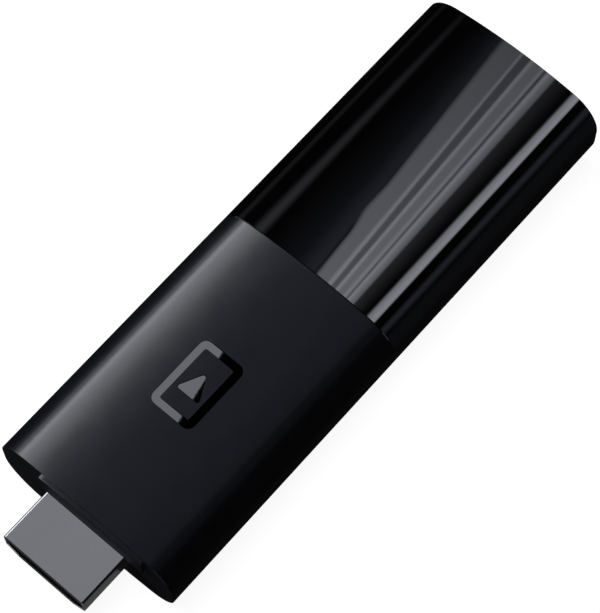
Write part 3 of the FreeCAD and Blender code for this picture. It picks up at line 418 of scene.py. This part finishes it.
# The look of each of the record's slots. Relief is in millimetres.
LOOKS = {
    "matte_housing": dict(
        colour=(0.0045, 0.0048, 0.0055), colour_shift=0.2, roughness=(0.20, 0.25),
        grain=9000, relief=0.0012, patches=350, end_roughness=0.2,
    ),
    "gloss_housing": dict(
        colour=(0.0012, 0.0012, 0.0013), colour_shift=0.2, roughness=(0.02, 0.045),
        grain=500, relief=0.0006,
    ),
    "gloss_symbol": dict(
        colour=(0.002, 0.002, 0.0022), colour_shift=0.2, roughness=(0.005, 0.02),
        grain=900, relief=0.0001,
    ),
    "plug_metal": dict(
        colour=(0.52, 0.52, 0.53), colour_shift=0.03, roughness=(0.14, 0.20), metallic=1.0,
        grain=2500, relief=0.0002, stretch=(0.15, 1, 1),
    ),
    "black_insulator": dict(
        colour=(0.010, 0.010, 0.011), colour_shift=0.2, roughness=(0.45, 0.6),
        grain=5000, relief=0.006,
    ),
    "gold_contacts": dict(
        colour=(0.83, 0.60, 0.25), colour_shift=0.08, roughness=(0.2, 0.32), metallic=1.0,
        grain=4000, relief=0.002,
    ),
    "circuit_board": dict(
        colour=(0.012, 0.075, 0.035), colour_shift=0.35, roughness=(0.25, 0.4), coat=0.4,
        grain=1800, relief=0.02, patches=900, stretch=(1, 0.25, 1),
    ),
    "frame_plastic": dict(
        colour=(0.035, 0.035, 0.038), colour_shift=0.15, roughness=(0.45, 0.6),
        grain=4000, relief=0.006,
    ),
    "screw_steel": dict(
        colour=(0.42, 0.42, 0.44), colour_shift=0.1, roughness=(0.25, 0.4), metallic=1.0,
        grain=5000, relief=0.003,
    ),
    "chip_package": dict(
        colour=(0.018, 0.018, 0.019), colour_shift=0.2, roughness=(0.5, 0.65),
        grain=6000, relief=0.005,
    ),
    "inductor_ferrite": dict(
        colour=(0.07, 0.07, 0.075), colour_shift=0.25, roughness=(0.55, 0.75),
        grain=7000, relief=0.01,
    ),
    "shield_metal": dict(
        colour=(0.60, 0.60, 0.62), colour_shift=0.05, roughness=(0.22, 0.36), metallic=1.0,
        grain=1800, relief=0.002, stretch=(0.2, 1, 1),
    ),
    "capacitor_ceramic": dict(
        colour=(0.30, 0.20, 0.12), colour_shift=0.2, roughness=(0.4, 0.55),
        grain=8000, relief=0.004,
    ),
    "thermal_pad": dict(
        colour=(0.22, 0.30, 0.45), colour_shift=0.15, roughness=(0.7, 0.85),
        grain=3500, relief=0.015,
    ),
    "spreader_aluminium": dict(
        colour=(0.70, 0.70, 0.72), colour_shift=0.05, roughness=(0.25, 0.42), metallic=1.0,
        grain=3000, relief=0.003, stretch=(0.05, 1, 1),
    ),
    "foam": dict(
        colour=(0.03, 0.03, 0.032), colour_shift=0.3, roughness=(0.85, 0.95),
        grain=2500, relief=0.12, patches=700,
    ),
}


def make_materials():
    return {slot: surface(slot, **look) for slot, look in LOOKS.items()}


# ---------------------------------------------------------------- the visible pieces


def place_piece(item, slot, materials, *nodes):
    """Gives a piece its material and its place in the frame."""
    item.data.materials.clear()
    item.data.materials.append(materials[slot])
    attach(item, "root")
    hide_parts(*nodes)
    return item


def fillet_rings(x, inwards, radius):
    """Rings of the rounded edge at an end face. inwards is the sign of x into the housing."""
    rings = []
    for angle in np.linspace(0, math.pi / 2, FILLET_STEPS + 1):
        inset = radius * (1 - math.sin(angle))
        rings.append(housing_ring(x + inwards * radius * (1 - math.cos(angle)), inset))
    return rings


def body_rings(start, end, inset, count):
    return [housing_ring(x, inset) for x in np.linspace(start, end, count)]


def symbol_loops(grow=0.0):
    """Outlines of the symbol round its own middle: frame outside, frame inside and triangle."""
    length = frame_high.x - frame_low.x
    width = frame_high.y - frame_low.y
    outer = rectangle_loop(length + 2 * grow, width + 2 * grow, SYMBOL_CORNER + grow)
    stroke = 2 * (SYMBOL_STROKE + grow)
    inner_corner = max(SYMBOL_CORNER - SYMBOL_STROKE - grow, SMALLEST_CORNER)
    inner = rectangle_loop(length - stroke, width - stroke, inner_corner)
    back = -(triangle_high.x - triangle_low.x) / 2 - grow
    nose = -back + grow
    side = (triangle_high.y - triangle_low.y) / 2 + 2 * grow
    triangle = rounded_polygon([(back, -side), (nose, 0), (back, side)], TRIANGLE_CORNER)
    return outer, inner, triangle


def upright_prism(name, loop, low_z, high_z):
    middle = (frame_low.x + frame_high.x) / 2
    return loft(name, [[(middle + a, b, z) for a, b in loop] for z in (low_z, high_z)])


def frame_prism(name, outer, inner, low_z, high_z):
    """A closed ring between two outlines of equal count."""
    middle = (frame_low.x + frame_high.x) / 2
    turns = [(outer, low_z), (outer, high_z), (inner, high_z), (inner, low_z)]
    return loft(name, [[(middle + a, b, z) for a, b in loop] for loop, z in turns], closed=True)


def plug_ring(x, inset, grow=0.0):
    width = plug_high.y - plug_low.y + 2 * grow
    height = plug_high.z - plug_low.z + 2 * grow
    middle = (plug_high.z + plug_low.z) / 2
    loop = connector_loop(width, height, PLUG_SLOPE, PLUG_BEND, inset)
    return [(x, y, middle + z) for y, z in loop]


def socket_ring(y, inset, grow=0.0):
    width = socket_high.x - socket_low.x + 2 * grow
    height = socket_high.z - socket_low.z + 2 * grow
    middle_x = (socket_high.x + socket_low.x) / 2
    middle_z = (socket_high.z + socket_low.z) / 2
    loop = connector_loop(width, height, SOCKET_SLOPE, SOCKET_BEND, inset)
    return [(middle_x + a, y, middle_z + b) for a, b in loop]


def make_matte_shell(materials):
    """The plug half: a cup with windows for the plug and the power socket."""
    rings = fillet_rings(END_X, 1, END_FILLET)
    rings += body_rings(END_X + 2 * END_FILLET, SEAM_X - SEAM_BREAK, 0.0, OUTER_STEPS)
    rings.append(housing_ring(SEAM_X, SEAM_BREAK))
    rings.append(housing_ring(SEAM_X, WALL))
    rings += body_rings(SEAM_X - INNER_START, END_X + END_WALL, WALL, INNER_STEPS)
    shell = loft("matte_shell", rings)
    outer, inner, triangle = symbol_loops(SYMBOL_GAP)
    floor_z = frame_low.z
    above = sleeve_high.z + RECESS_CUT
    mouth = socket_high.y
    cutters = [
        loft("plug_window", [plug_ring(END_X + move, 0, WINDOW_GAP) for move in PLUG_CUT]),
        loft("socket_window", [socket_ring(mouth + move, 0, WINDOW_GAP) for move in SOCKET_CUT]),
        frame_prism("frame_recess", outer, inner, floor_z, above),
        upright_prism("triangle_recess", triangle, floor_z, above),
    ]
    subtract(shell, cutters)
    return place_piece(shell, "matte_housing", materials, "matte_sleeve")


def make_gloss_shell(materials):
    """The far half: a polished cup with a spigot inside the seam."""
    inside = WALL + SPIGOT_GAP + SPIGOT_WALL
    tip_x = cap_low.x
    rings = fillet_rings(FAR_X, -1, END_FILLET)
    rings += body_rings(FAR_X - 2 * END_FILLET, SEAM_X + SEAM_BREAK, 0.0, OUTER_STEPS)
    rings.append(housing_ring(SEAM_X, SEAM_BREAK))
    rings.append(housing_ring(SEAM_X, WALL + SPIGOT_GAP))
    rings.append(housing_ring(tip_x + SPIGOT_CHAMFER, WALL + SPIGOT_GAP))
    rings.append(housing_ring(tip_x, WALL + SPIGOT_GAP + SPIGOT_CHAMFER))
    rings.append(housing_ring(tip_x, inside))
    rings.append(housing_ring(SEAM_X + SPIGOT_ROOT, inside))
    rings.append(housing_ring(SEAM_X + SPIGOT_ROOT, WALL))
    start = SEAM_X + SPIGOT_ROOT + INNER_START
    rings += body_rings(start, FAR_X - END_WALL, WALL, INNER_STEPS)
    shell = loft("gloss_shell", rings)
    return place_piece(shell, "gloss_housing", materials, "gloss_cap")


def crown_height(y, inset=0.0):
    """Height of the upper crown at y, moved down by inset."""
    radius = CROWN_RADIUS - inset
    return sleeve_high.z - CROWN_RADIUS + math.sqrt(radius**2 - y**2)


def collar_profile(out, bottom, top):
    """The lip's section from the end face out to its rounded front: distance and height."""
    bend = [
        (out - COLLAR_BEND * (1 - math.sin(angle)), COLLAR_BEND * (1 - math.cos(angle)))
        for angle in COLLAR_ANGLES
    ]
    under = [(far, bottom + lift) for far, lift in bend]
    over = [(far, top - drop) for far, drop in reversed(bend)]
    return [(0.0, bottom), *under, *over, (0.0, top)]


def make_collar(materials):
    """Low lip over the plug, whose top follows the crown, with rounded front and side edges."""
    depth = collar_high.x - collar_low.x
    start = collar_low.y
    end = collar_high.y
    bends = [COLLAR_BEND * (1 - math.cos(angle)) for angle in COLLAR_ANGLES]
    straight = np.linspace(start + COLLAR_BEND, end - COLLAR_BEND, COLLAR_STEPS)[1:-1]
    sides = [start + bend for bend in bends]
    sides += list(straight)
    sides += [end - bend for bend in reversed(bends)]
    rings = []
    for y in sides:
        edge = min(y - start, end - y, COLLAR_BEND)
        back = COLLAR_BEND - math.sqrt(max(0.0, COLLAR_BEND**2 - (COLLAR_BEND - edge) ** 2))
        top = crown_height(y, COLLAR_INSET) - back
        profile = collar_profile(depth - back, collar_low.z + back, top)
        rings.append([(collar_high.x - far, y, z) for far, z in profile])
    collar = loft("collar", rings, smooth_angle=35.0)
    return place_piece(collar, "matte_housing", materials, "plug_collar")


def make_symbol(materials):
    """The two gloss inlays, with softly rounded top edges."""
    outer, inner, triangle = symbol_loops()
    ring = frame_prism("screen_frame", outer, inner, frame_low.z, frame_high.z)
    bevel_edges(ring, SYMBOL_BEVEL, FLAT_TOP_ANGLE)
    place_piece(ring, "gloss_symbol", materials, "symbol_frame")
    play = upright_prism("play_triangle", triangle, triangle_low.z, triangle_high.z)
    bevel_edges(play, SYMBOL_BEVEL, FLAT_TOP_ANGLE)
    place_piece(play, "gloss_symbol", materials, "symbol_triangle")
    return [ring, play]


def make_plug(materials):
    """Bent sheet-metal tube of the video plug with rolled front edges."""
    tip, back = plug_low.x, plug_high.x
    roll = PLUG_SHEET / 2
    rings = []
    for angle in PLUG_ROLL_ANGLES:
        x = tip + roll * (1 - math.sin(angle))
        inset = PLUG_SHEET - roll * (1 - math.cos(angle))
        rings.append(plug_ring(x, inset))
    start = tip + roll + PLUG_ROLL_FLAT
    rings += [plug_ring(x, 0.0) for x in np.linspace(start, back, PLUG_STEPS)]
    rings += [plug_ring(x, PLUG_SHEET) for x in np.linspace(back, start, PLUG_STEPS)]
    tube = loft("plug_tube", rings, closed=True, smooth_angle=40.0)
    return place_piece(tube, "plug_metal", materials, "video_plug_shell")


def make_socket(materials):
    """Power socket shell with a slightly flared mouth."""
    mouth, back = socket_high.y, socket_low.y
    chamfer_depth, chamfer_inset = SOCKET_CHAMFER
    flare_depth, flare_inset = SOCKET_FLARE
    rings = [
        socket_ring(mouth, chamfer_inset),
        socket_ring(mouth - chamfer_depth, 0.0),
        socket_ring(back, 0.0),
        socket_ring(back, SOCKET_SHEET),
        socket_ring(mouth - flare_depth, SOCKET_SHEET),
        socket_ring(mouth, flare_inset),
    ]
    shell = loft("socket_tube", rings, closed=True, smooth_angle=40.0)
    return place_piece(shell, "plug_metal", materials, "power_socket_shell")


def finish_cad_nodes(materials, replaced):
    """Gives each carried-over CAD node the material of its slot."""
    for entry in frame["record"]["subparts"]:
        if entry["node"] in replaced:
            continue
        item = frame["nodes"][entry["node"]]
        material = materials[entry["material_slot"]]
        if not item.material_slots:
            item.data.materials.append(material)
        for material_slot in item.material_slots:
            material_slot.material = material


# ---------------------------------------------------------------- camera, floor and light


STAGE_RADIUS = 3.0
STAGE_STEPS = 96
DOME_LEVELS = 12
WHITE = (1.0, 1.0, 1.0)
FLOOR_GLOW = 0.93
FLOOR_WHITENESS = 0.5
DOME_GLOW = 0.97
GLOW_PATCHES = 8.0
GLOW_DETAIL = 2.0
GLOW_SHIFT = 0.015
AMBIENT = 0.007


def camera_turn():
    return (
        Matrix.Rotation(CAMERA_AZIMUTH, 4, "Z")
        @ Matrix.Rotation(CAMERA_TILT, 4, "X")
        @ Matrix.Rotation(CAMERA_ROLL, 4, "Z")
    )


def make_camera():
    data = bpy.data.cameras.new("camera")
    data.lens = CAMERA_LENS
    data.sensor_width = CAMERA_SENSOR
    data.clip_start = 0.01
    item = bpy.data.objects.new("camera", data)
    item.matrix_world = Matrix.Translation(CAMERA_PLACE) @ camera_turn()
    bpy.context.scene.collection.objects.link(item)
    bpy.context.scene.camera = item


def glow(name, colour, strength, whiteness=0.0):
    """A glowing surface, also diffuse white by whiteness where shadows should show faintly."""
    material = bpy.data.materials.new(name)
    tree = node_tree(material)
    place = add_node(tree, "TexCoord").outputs["Object"]
    patches = noise(tree, place, GLOW_PATCHES, GLOW_DETAIL)
    level = spread(tree, patches, (1 - GLOW_SHIFT) * strength, (1 + GLOW_SHIFT) * strength)
    light = add_node(tree, "Emission", {"Color": (*colour, 1.0), "Strength": level})
    matt = add_node(tree, "BsdfDiffuse", {"Color": (whiteness, whiteness, whiteness, 1.0)})
    both = add_node(tree, "AddShader", {0: light.outputs[0], 1: matt.outputs[0]})
    out = add_node(tree, "OutputMaterial")
    tree.links.new(both.outputs[0], out.inputs["Surface"])
    return material


def hide_from_light(item):
    """Only the camera sees this stage surface, so that it throws no light on the object."""
    item.visible_glossy = False
    item.visible_diffuse = False
    item.visible_transmission = False
    item.visible_shadow = False


def make_floor(circle):
    points = [(x, y, 0.0) for x, y in circle]
    floor = mesh_object("studio_floor", points, [tuple(range(len(circle)))])
    floor.data.materials.append(glow("pale_floor", WHITE, FLOOR_GLOW, FLOOR_WHITENESS))
    hide_from_light(floor)
    return floor


def make_dome(circle):
    steps = len(circle)
    points = []
    faces = []
    for level in range(DOME_LEVELS):
        lift = (math.pi / 2) * level / DOME_LEVELS
        for x, y in circle:
            points.append((x * math.cos(lift), y * math.cos(lift), STAGE_RADIUS * math.sin(lift)))
    points.append((0.0, 0.0, STAGE_RADIUS))
    for level in range(DOME_LEVELS - 1):
        for step in range(steps):
            after = (step + 1) % steps
            low = level * steps
            faces.append((low + step, low + steps + step, low + steps + after, low + after))
    top = (DOME_LEVELS - 1) * steps
    for step in range(steps):
        faces.append((top + step, len(points) - 1, top + (step + 1) % steps))
    dome = mesh_object("studio_dome", points, faces)
    dome.data.materials.append(glow("pale_dome", WHITE, DOME_GLOW))
    hide_from_light(dome)
    return dome


def make_stage():
    """Plain pale floor and a pale dome round it."""
    turns = [2 * math.pi * k / STAGE_STEPS for k in range(STAGE_STEPS)]
    circle = [(STAGE_RADIUS * math.cos(turn), STAGE_RADIUS * math.sin(turn)) for turn in turns]
    floor = make_floor(circle)
    dome = make_dome(circle)
    return floor


def keep_out_of_mirrors(*items):
    """The plug's metal shows the soft light over it, and not the dark housing beside it."""
    for item in items:
        item.visible_glossy = False


def light_group(name, items):
    """Pieces that a card or a lamp is linked to: those that it lights, or that shade it."""
    group = bpy.data.collections.new(name)
    for item in items:
        group.objects.link(item)
    return group


# Lights are placed by where the main camera would see them mirrored. x is in millimetres along
# the housing from its end face, and a lean is how many degrees the surface tips from straight
# up towards +Y.
CARD_DISTANCE = 0.6
PANEL_DISTANCE = 0.4
CARD_STEPS_ALONG = 10
CARD_STEPS_ROUND = 8
CARD_STEPS_ACROSS = 12
WRAP = 6.0
PALE = (0.985, 1.0, 1.08)
COOL = (0.975, 1.0, 1.12)
COLD = (0.94, 1.0, 1.30)
# An area lamp with this many watts per square metre shines like a surface that glows at 1.
LAMP_WATTS = 4.0


def mirror_point(point, normal, distance):
    """Where the camera's ray off a surface point ends, after going distance."""
    ray = (point - CAMERA_PLACE).normalized()
    return point + ray.reflect(normal) * distance


def housing_mirror_point(x, lean, distance, tilt=0.0):
    """The same for a point on the housing, whose surface there is taken to tip towards +X by
    tilt radians."""
    (y, z), (normal_y, normal_z) = section_at(math.radians(lean))
    point = Vector((END_X + x * MM, y, MIDDLE_Z + z))
    across = math.cos(tilt)
    normal = Vector((math.sin(tilt), across * normal_y, across * normal_z))
    return mirror_point(point, normal, distance)


def edge_fade(share, first_soft, last_soft):
    """0 to 1 to 0 across a card: it fades over first_soft of its width at one edge and over
    last_soft at the other."""
    first = share / first_soft if first_soft > 0 else 1.0
    last = (1 - share) / last_soft if last_soft > 0 else 1.0
    level = max(0.0, min(1.0, first, last))
    return level * level * (3 - 2 * level)


def glow_material(name, colour):
    """Light that adds to what is behind it, by the mesh's own glow value."""
    material = bpy.data.materials.new(name)
    tree = node_tree(material)
    level = add_node(tree, "Attribute", attribute_name="glow").outputs["Fac"]
    light = add_node(tree, "Emission", {"Color": (*colour, 1.0), "Strength": level})
    clear = add_node(tree, "BsdfTransparent")
    both = add_node(tree, "AddShader", {0: light.outputs[0], 1: clear.outputs[0]})
    out = add_node(tree, "OutputMaterial")
    tree.links.new(both.outputs[0], out.inputs["Surface"])
    return material


def strip_point(x, lean):
    """Where a strip's card lies for a point on the gloss half. Beyond the far end the card
    wraps round by WRAP degrees for each millimetre, so that the end's edge mirrors it too."""
    over = max(0.0, x - HOUSING_LENGTH)
    tilt = math.radians(over * WRAP)
    return housing_mirror_point(min(x, HOUSING_LENGTH), lean, CARD_DISTANCE, tilt)


def mirror_card(name, stations, levels, soft, group, colour):
    """A glowing card that only its group reflects, seen in the housing as a strip along it.
    stations are (x, first lean, last lean) at two or more places along the housing, levels the
    strength at both ends, and soft the shares of the width over which its two long edges fade."""
    places, firsts, lasts = zip(*stations)
    steps = [*np.linspace(places[0], HOUSING_LENGTH, CARD_STEPS_ALONG + 1)]
    steps += [*np.linspace(HOUSING_LENGTH, places[-1], CARD_STEPS_ROUND + 1)]
    rows = sorted({float(x) for x in [*steps, *places]})
    shares = np.linspace(0, 1, CARD_STEPS_ACROSS + 1)
    points = []
    glows = []
    for x in rows:
        first = np.interp(x, places, firsts)
        last = np.interp(x, places, lasts)
        level = np.interp(x, [places[0], places[-1]], levels)
        for share in shares:
            points.append(strip_point(x, first + (last - first) * share))
            glows.append(level * edge_fade(share, *soft))
    width = len(shares)
    faces = []
    for row in range(len(rows) - 1):
        for column in range(width - 1):
            here = row * width + column
            faces.append((here, here + 1, here + width + 1, here + width))
    card = mesh_object(name, points, faces)
    attribute = card.data.attributes.new("glow", "FLOAT", "POINT")
    attribute.data.foreach_set("value", glows)
    card.data.materials.append(glow_material(name, colour))
    card.visible_camera = False
    card.visible_shadow = False
    card.light_linking.receiver_collection = group


def soft_panel(name, corners, radiance, group, colour=COOL, blockers=None):
    """A rectangular lamp that faces the origin and lights only its group. Only the blockers
    shade it, if there are any. corners are three points: an edge from the first to the second,
    and the third across from the first."""
    first, second, third = corners
    along = second - first
    across = third - first
    across -= along * (across.dot(along) / along.dot(along))
    centre = first + along / 2 + across / 2
    data = bpy.data.lights.new(name, "AREA")
    data.shape = "RECTANGLE"
    data.size = along.length
    data.size_y = across.length
    data.energy = LAMP_WATTS * radiance * along.length * across.length
    data.color = colour
    item = bpy.data.objects.new(name, data)
    x_axis, y_axis = along.normalized(), across.normalized()
    z_axis = x_axis.cross(y_axis)
    if z_axis.dot(centre) < 0:
        y_axis, z_axis = -y_axis, -z_axis
    turn = Matrix((x_axis, y_axis, z_axis)).transposed().to_4x4()
    item.matrix_world = Matrix.Translation(centre) @ turn
    item.visible_camera = False
    bpy.context.scene.collection.objects.link(item)
    item.light_linking.receiver_collection = group
    item.light_linking.blocker_collection = blockers


# Strips that the gloss half mirrors, which add up where they overlap: name, stations (x, first
# lean and last lean), strength at the first and last station, soft shares of both edges, tint.
GLOSS_STRIPS = [
    ("flank_line", [(40, 35.0, 19.0), (92, 36.0, 24.0)], (0.13, 0.04), (0.4, 0.4), COOL),
    ("upper_line", [(40, 9.5, 6.9), (92, 9.1, 8.0)], (0.56, 0.05), (0.55, 0.50), COOL),
    ("haze", [(40, 8.0, -1.2), (92, 6.5, 2.5)], (0.11, 0.08), (0.9, 0.0), COLD),
    ("haze_near", [(40, 2.0, -1.5), (92, 4.2, 2.6)], (0.22, 0.06), (0.9, 0.0), COLD),
    (
        "band_base",
        [
            (40, -1.5, -7.55),
            (51, -0.7, -7.35),
            (54.5, -0.02, -7.3),
            (59, 0.03, -7.2),
            (92, 2.7, -6.65),
        ],
        (1.65, 0.60),
        (0.02, 0.05),
        COOL,
    ),
    (
        "band_one",
        [
            (40, -1.5, -4.15),
            (51, -0.7, -3.55),
            (54.5, -0.02, -3.35),
            (59, 0.03, -3.1),
            (92, 2.7, -1.05),
        ],
        (0.85, 0.45),
        (0.05, 0.10),
        COOL,
    ),
    ("band_one_line", [(40, -3.2, -4.05), (92, -0.6, -1.15)], (1.9, 1.0), (0.5, 0.25), COOL),
    ("band_two_start", [(40, -4.6, -5.2), (92, -2.3, -3.1)], (1.9, 0.9), (0.25, 0.6), COOL),
    ("band_two", [(40, -4.5, -6.35), (92, -2.2, -4.75)], (1.2, 0.9), (0.1, 0.1), COOL),
    ("band_two_end", [(40, -5.6, -6.4), (92, -4.1, -4.75)], (1.4, 0.9), (0.6, 0.25), COOL),
    ("band_three_start", [(40, -6.5, -7.0), (92, -5.1, -5.9)], (1.2, 1.0), (0.25, 0.6), COOL),
    ("band_three", [(40, -6.45, -7.65), (92, -5.0, -6.75)], (1.7, 1.3), (0.12, 0.2), COOL),
    ("after_band", [(40, -7.2, -9.6), (92, -6.6, -9.4)], (0.35, 0.18), (0.1, 0.9), COOL),
    ("lower_band", [(40, -9.55, -22.4), (92, -9.4, -20.3)], (3.7, 3.7), (0.06, 0.22), COOL),
    ("lower_band_heart", [(40, -10.5, -21.5), (92, -10.5, -19.5)], (1.1, 1.1), (0.5, 0.25), COOL),
    ("faint_band", [(40, -31.0, -47.0), (92, -31.0, -48.0)], (0.31, 0.31), (0.42, 0.58), COLD),
    ("flank_glow", [(40, -44.0, -88.0), (92, -44.0, -88.0)], (0.055, 0.055), (0.2, 0.8), COLD),
]


def make_gloss_lights(gloss):
    group = light_group("gloss_receivers", [gloss])
    for name, stations, levels, soft, colour in GLOSS_STRIPS:
        mirror_card(f"card_{name}", stations, levels, soft, group, colour)


# Panels for the matte half, whose rough skin blends them: a lean range, a radiance and a tint.
# They span a stretch of x, and reach on past the plug by a multiple of that.
MATTE_PANELS = [
    (18.0, 9.15, 4.05, PALE),
    (26.0, 18.0, 1.0, PALE),
    (34.0, 26.0, 0.08, COLD),
    (9.0, 4.0, 0.20, COLD),
    (4.0, -6.0, 0.18, COLD),
    (-6.0, -20.0, 0.12, COLD),
    (-20.0, -34.0, 0.04, COLD),
]
MATTE_SPAN = (-60.0, 110.0)
MATTE_REACH = 2.0


def make_matte_lights(pieces):
    group = light_group("matte_receivers", pieces)
    start, end = MATTE_SPAN
    for number, (first, last, radiance, colour) in enumerate(MATTE_PANELS, 1):
        near = housing_mirror_point(start, first, PANEL_DISTANCE)
        far = housing_mirror_point(end, first, PANEL_DISTANCE)
        across = housing_mirror_point(start, last, PANEL_DISTANCE)
        beyond = (far - near) * MATTE_REACH
        corners = [near - beyond, far, across - beyond]
        soft_panel(f"panel_matte_{number}", corners, radiance, group, colour)


# Corners of the symbol's panel: the x and y, in millimetres, of the points at the height of the
# symbol's top that would mirror them.
SYMBOL_PANEL = [(2.0, -4.45), (42.0, 3.5), (-0.5, 10.0)]
SYMBOL_RADIANCE = 2.6


def flat_mirror_point(x, y, z):
    """The mirror point of a level surface."""
    point = Vector((END_X + x * MM, y * MM, z))
    return mirror_point(point, Vector((0.0, 0.0, 1.0)), PANEL_DISTANCE)


def make_symbol_lights(pieces):
    """A panel whose mirrored edge crosses the symbol, so that only its upper part shows grey."""
    group = light_group("symbol_receivers", pieces)
    corners = [flat_mirror_point(x, y, frame_high.z) for x, y in SYMBOL_PANEL]
    soft_panel("panel_symbol", corners, SYMBOL_RADIANCE, group)


# Panels for the plug: name, three corners in metres and a radiance. The last one stands for the
# pale table, which lights the plug's sides from below.
PLUG_PANELS = [
    ("panel_plug", [(-0.036, -0.05, 0.38), (0.18, -0.05, 0.38), (-0.036, 0.35, 0.38)], 0.27),
    ("panel_plug_dim", [(-0.24, -0.05, 0.38), (-0.036, -0.05, 0.38), (-0.24, 0.35, 0.38)], 0.10),
    (
        "panel_plug_table",
        [(-0.25, -0.15, -0.001), (-0.0395, -0.15, -0.001), (-0.25, 0.15, -0.001)],
        0.065,
    ),
]
# Corners of the panel that the plug's rounded +Y edge mirrors: x in millimetres from the plug's
# tip, and lean.
EDGE_PANEL = [(-10, 27), (20, 27), (-10, 10)]
EDGE_RADIANCE = 1.9


def bend_mirror_point(x, lean):
    """The mirror point of the plug's rounded upper edge."""
    point = Vector((plug_low.x + x * MM, plug_high.y, plug_high.z))
    turn = math.radians(lean)
    return mirror_point(point, Vector((0.0, math.sin(turn), math.cos(turn))), PANEL_DISTANCE)


def make_plug_lights(plug, socket):
    """Panels over and under the plug, and a bright one that its rounded edge picks up."""
    group = light_group("plug_receivers", [plug, socket])
    blockers = light_group("plug_blockers", [plug])
    for name, places, radiance in PLUG_PANELS:
        corners = [Vector(place) for place in places]
        soft_panel(name, corners, radiance, group, PALE, blockers)
    edge = [bend_mirror_point(x, lean) for x, lean in EDGE_PANEL]
    soft_panel("panel_plug_edge", edge, EDGE_RADIANCE, group, PALE, blockers)


# Broad panels for the sides that the main view's reflections leave dark: name, direction from
# the object, width and height in metres, and radiance.
FILL_PANELS = [
    ("fill_plug_end_left", (-0.68, 0.68, 0.10), (0.5, 0.9), 0.6),
    ("fill_plug_end_right", (-0.68, -0.68, 0.10), (0.5, 0.9), 0.6),
    ("fill_far_end_left", (0.78, 0.60, 0.10), (0.4, 0.9), 0.9),
    ("fill_far_end_right", (0.78, -0.60, 0.10), (0.4, 0.9), 0.9),
]
FILL_DISTANCE = 1.0


def make_fill_lights(pieces):
    group = light_group("fill_receivers", pieces)
    for name, direction, (width, height), radiance in FILL_PANELS:
        aim = Vector(direction).normalized()
        side = aim.cross(Vector((0.0, 0.0, 1.0))).normalized()
        up = side.cross(aim)
        first = aim * FILL_DISTANCE - side * width / 2 - up * height / 2
        corners = [first, first + side * width, first + up * height]
        soft_panel(name, corners, radiance, group)


TOP_LIGHT_PLACE = (-0.2, 0.3, 1.5)
TOP_LIGHT_SIZE = 1.2
TOP_LIGHT_WATTS = 6.0


def make_floor_light(floor):
    """Soft top light for the floor alone, which gives the object its faint shadow."""
    data = bpy.data.lights.new("soft_top", "AREA")
    data.shape = "DISK"
    data.size = TOP_LIGHT_SIZE
    data.energy = TOP_LIGHT_WATTS
    item = bpy.data.objects.new("soft_top", data)
    item.location = TOP_LIGHT_PLACE
    item.rotation_euler = (-item.location).to_track_quat("-Z", "Y").to_euler()
    bpy.context.scene.collection.objects.link(item)
    item.light_linking.receiver_collection = light_group("floor_receivers", [floor])


def make_world():
    world = bpy.data.worlds.new("studio")
    bpy.context.scene.world = world
    world.use_nodes = True
    background = world.node_tree.nodes["Background"]
    background.inputs["Color"].default_value = (*WHITE, 1.0)
    background.inputs["Strength"].default_value = AMBIENT


# ---------------------------------------------------------------- the scene


def main():
    materials = make_materials()
    matte = make_matte_shell(materials)
    gloss = make_gloss_shell(materials)
    collar = make_collar(materials)
    symbol = make_symbol(materials)
    plug = make_plug(materials)
    socket = make_socket(materials)
    replaced = {
        "matte_sleeve", "gloss_cap", "plug_collar", "symbol_frame", "symbol_triangle",
        "video_plug_shell", "power_socket_shell",
    }
    finish_cad_nodes(materials, replaced)
    make_camera()
    floor = make_stage()
    keep_out_of_mirrors(matte, collar)
    make_gloss_lights(gloss)
    make_matte_lights([matte, collar])
    make_symbol_lights(symbol)
    make_plug_lights(plug, socket)
    make_fill_lights([matte, gloss, collar, plug, socket, *symbol])
    make_floor_light(floor)
    make_world()
    bpy.context.scene.view_settings.view_transform = "Standard"


main()
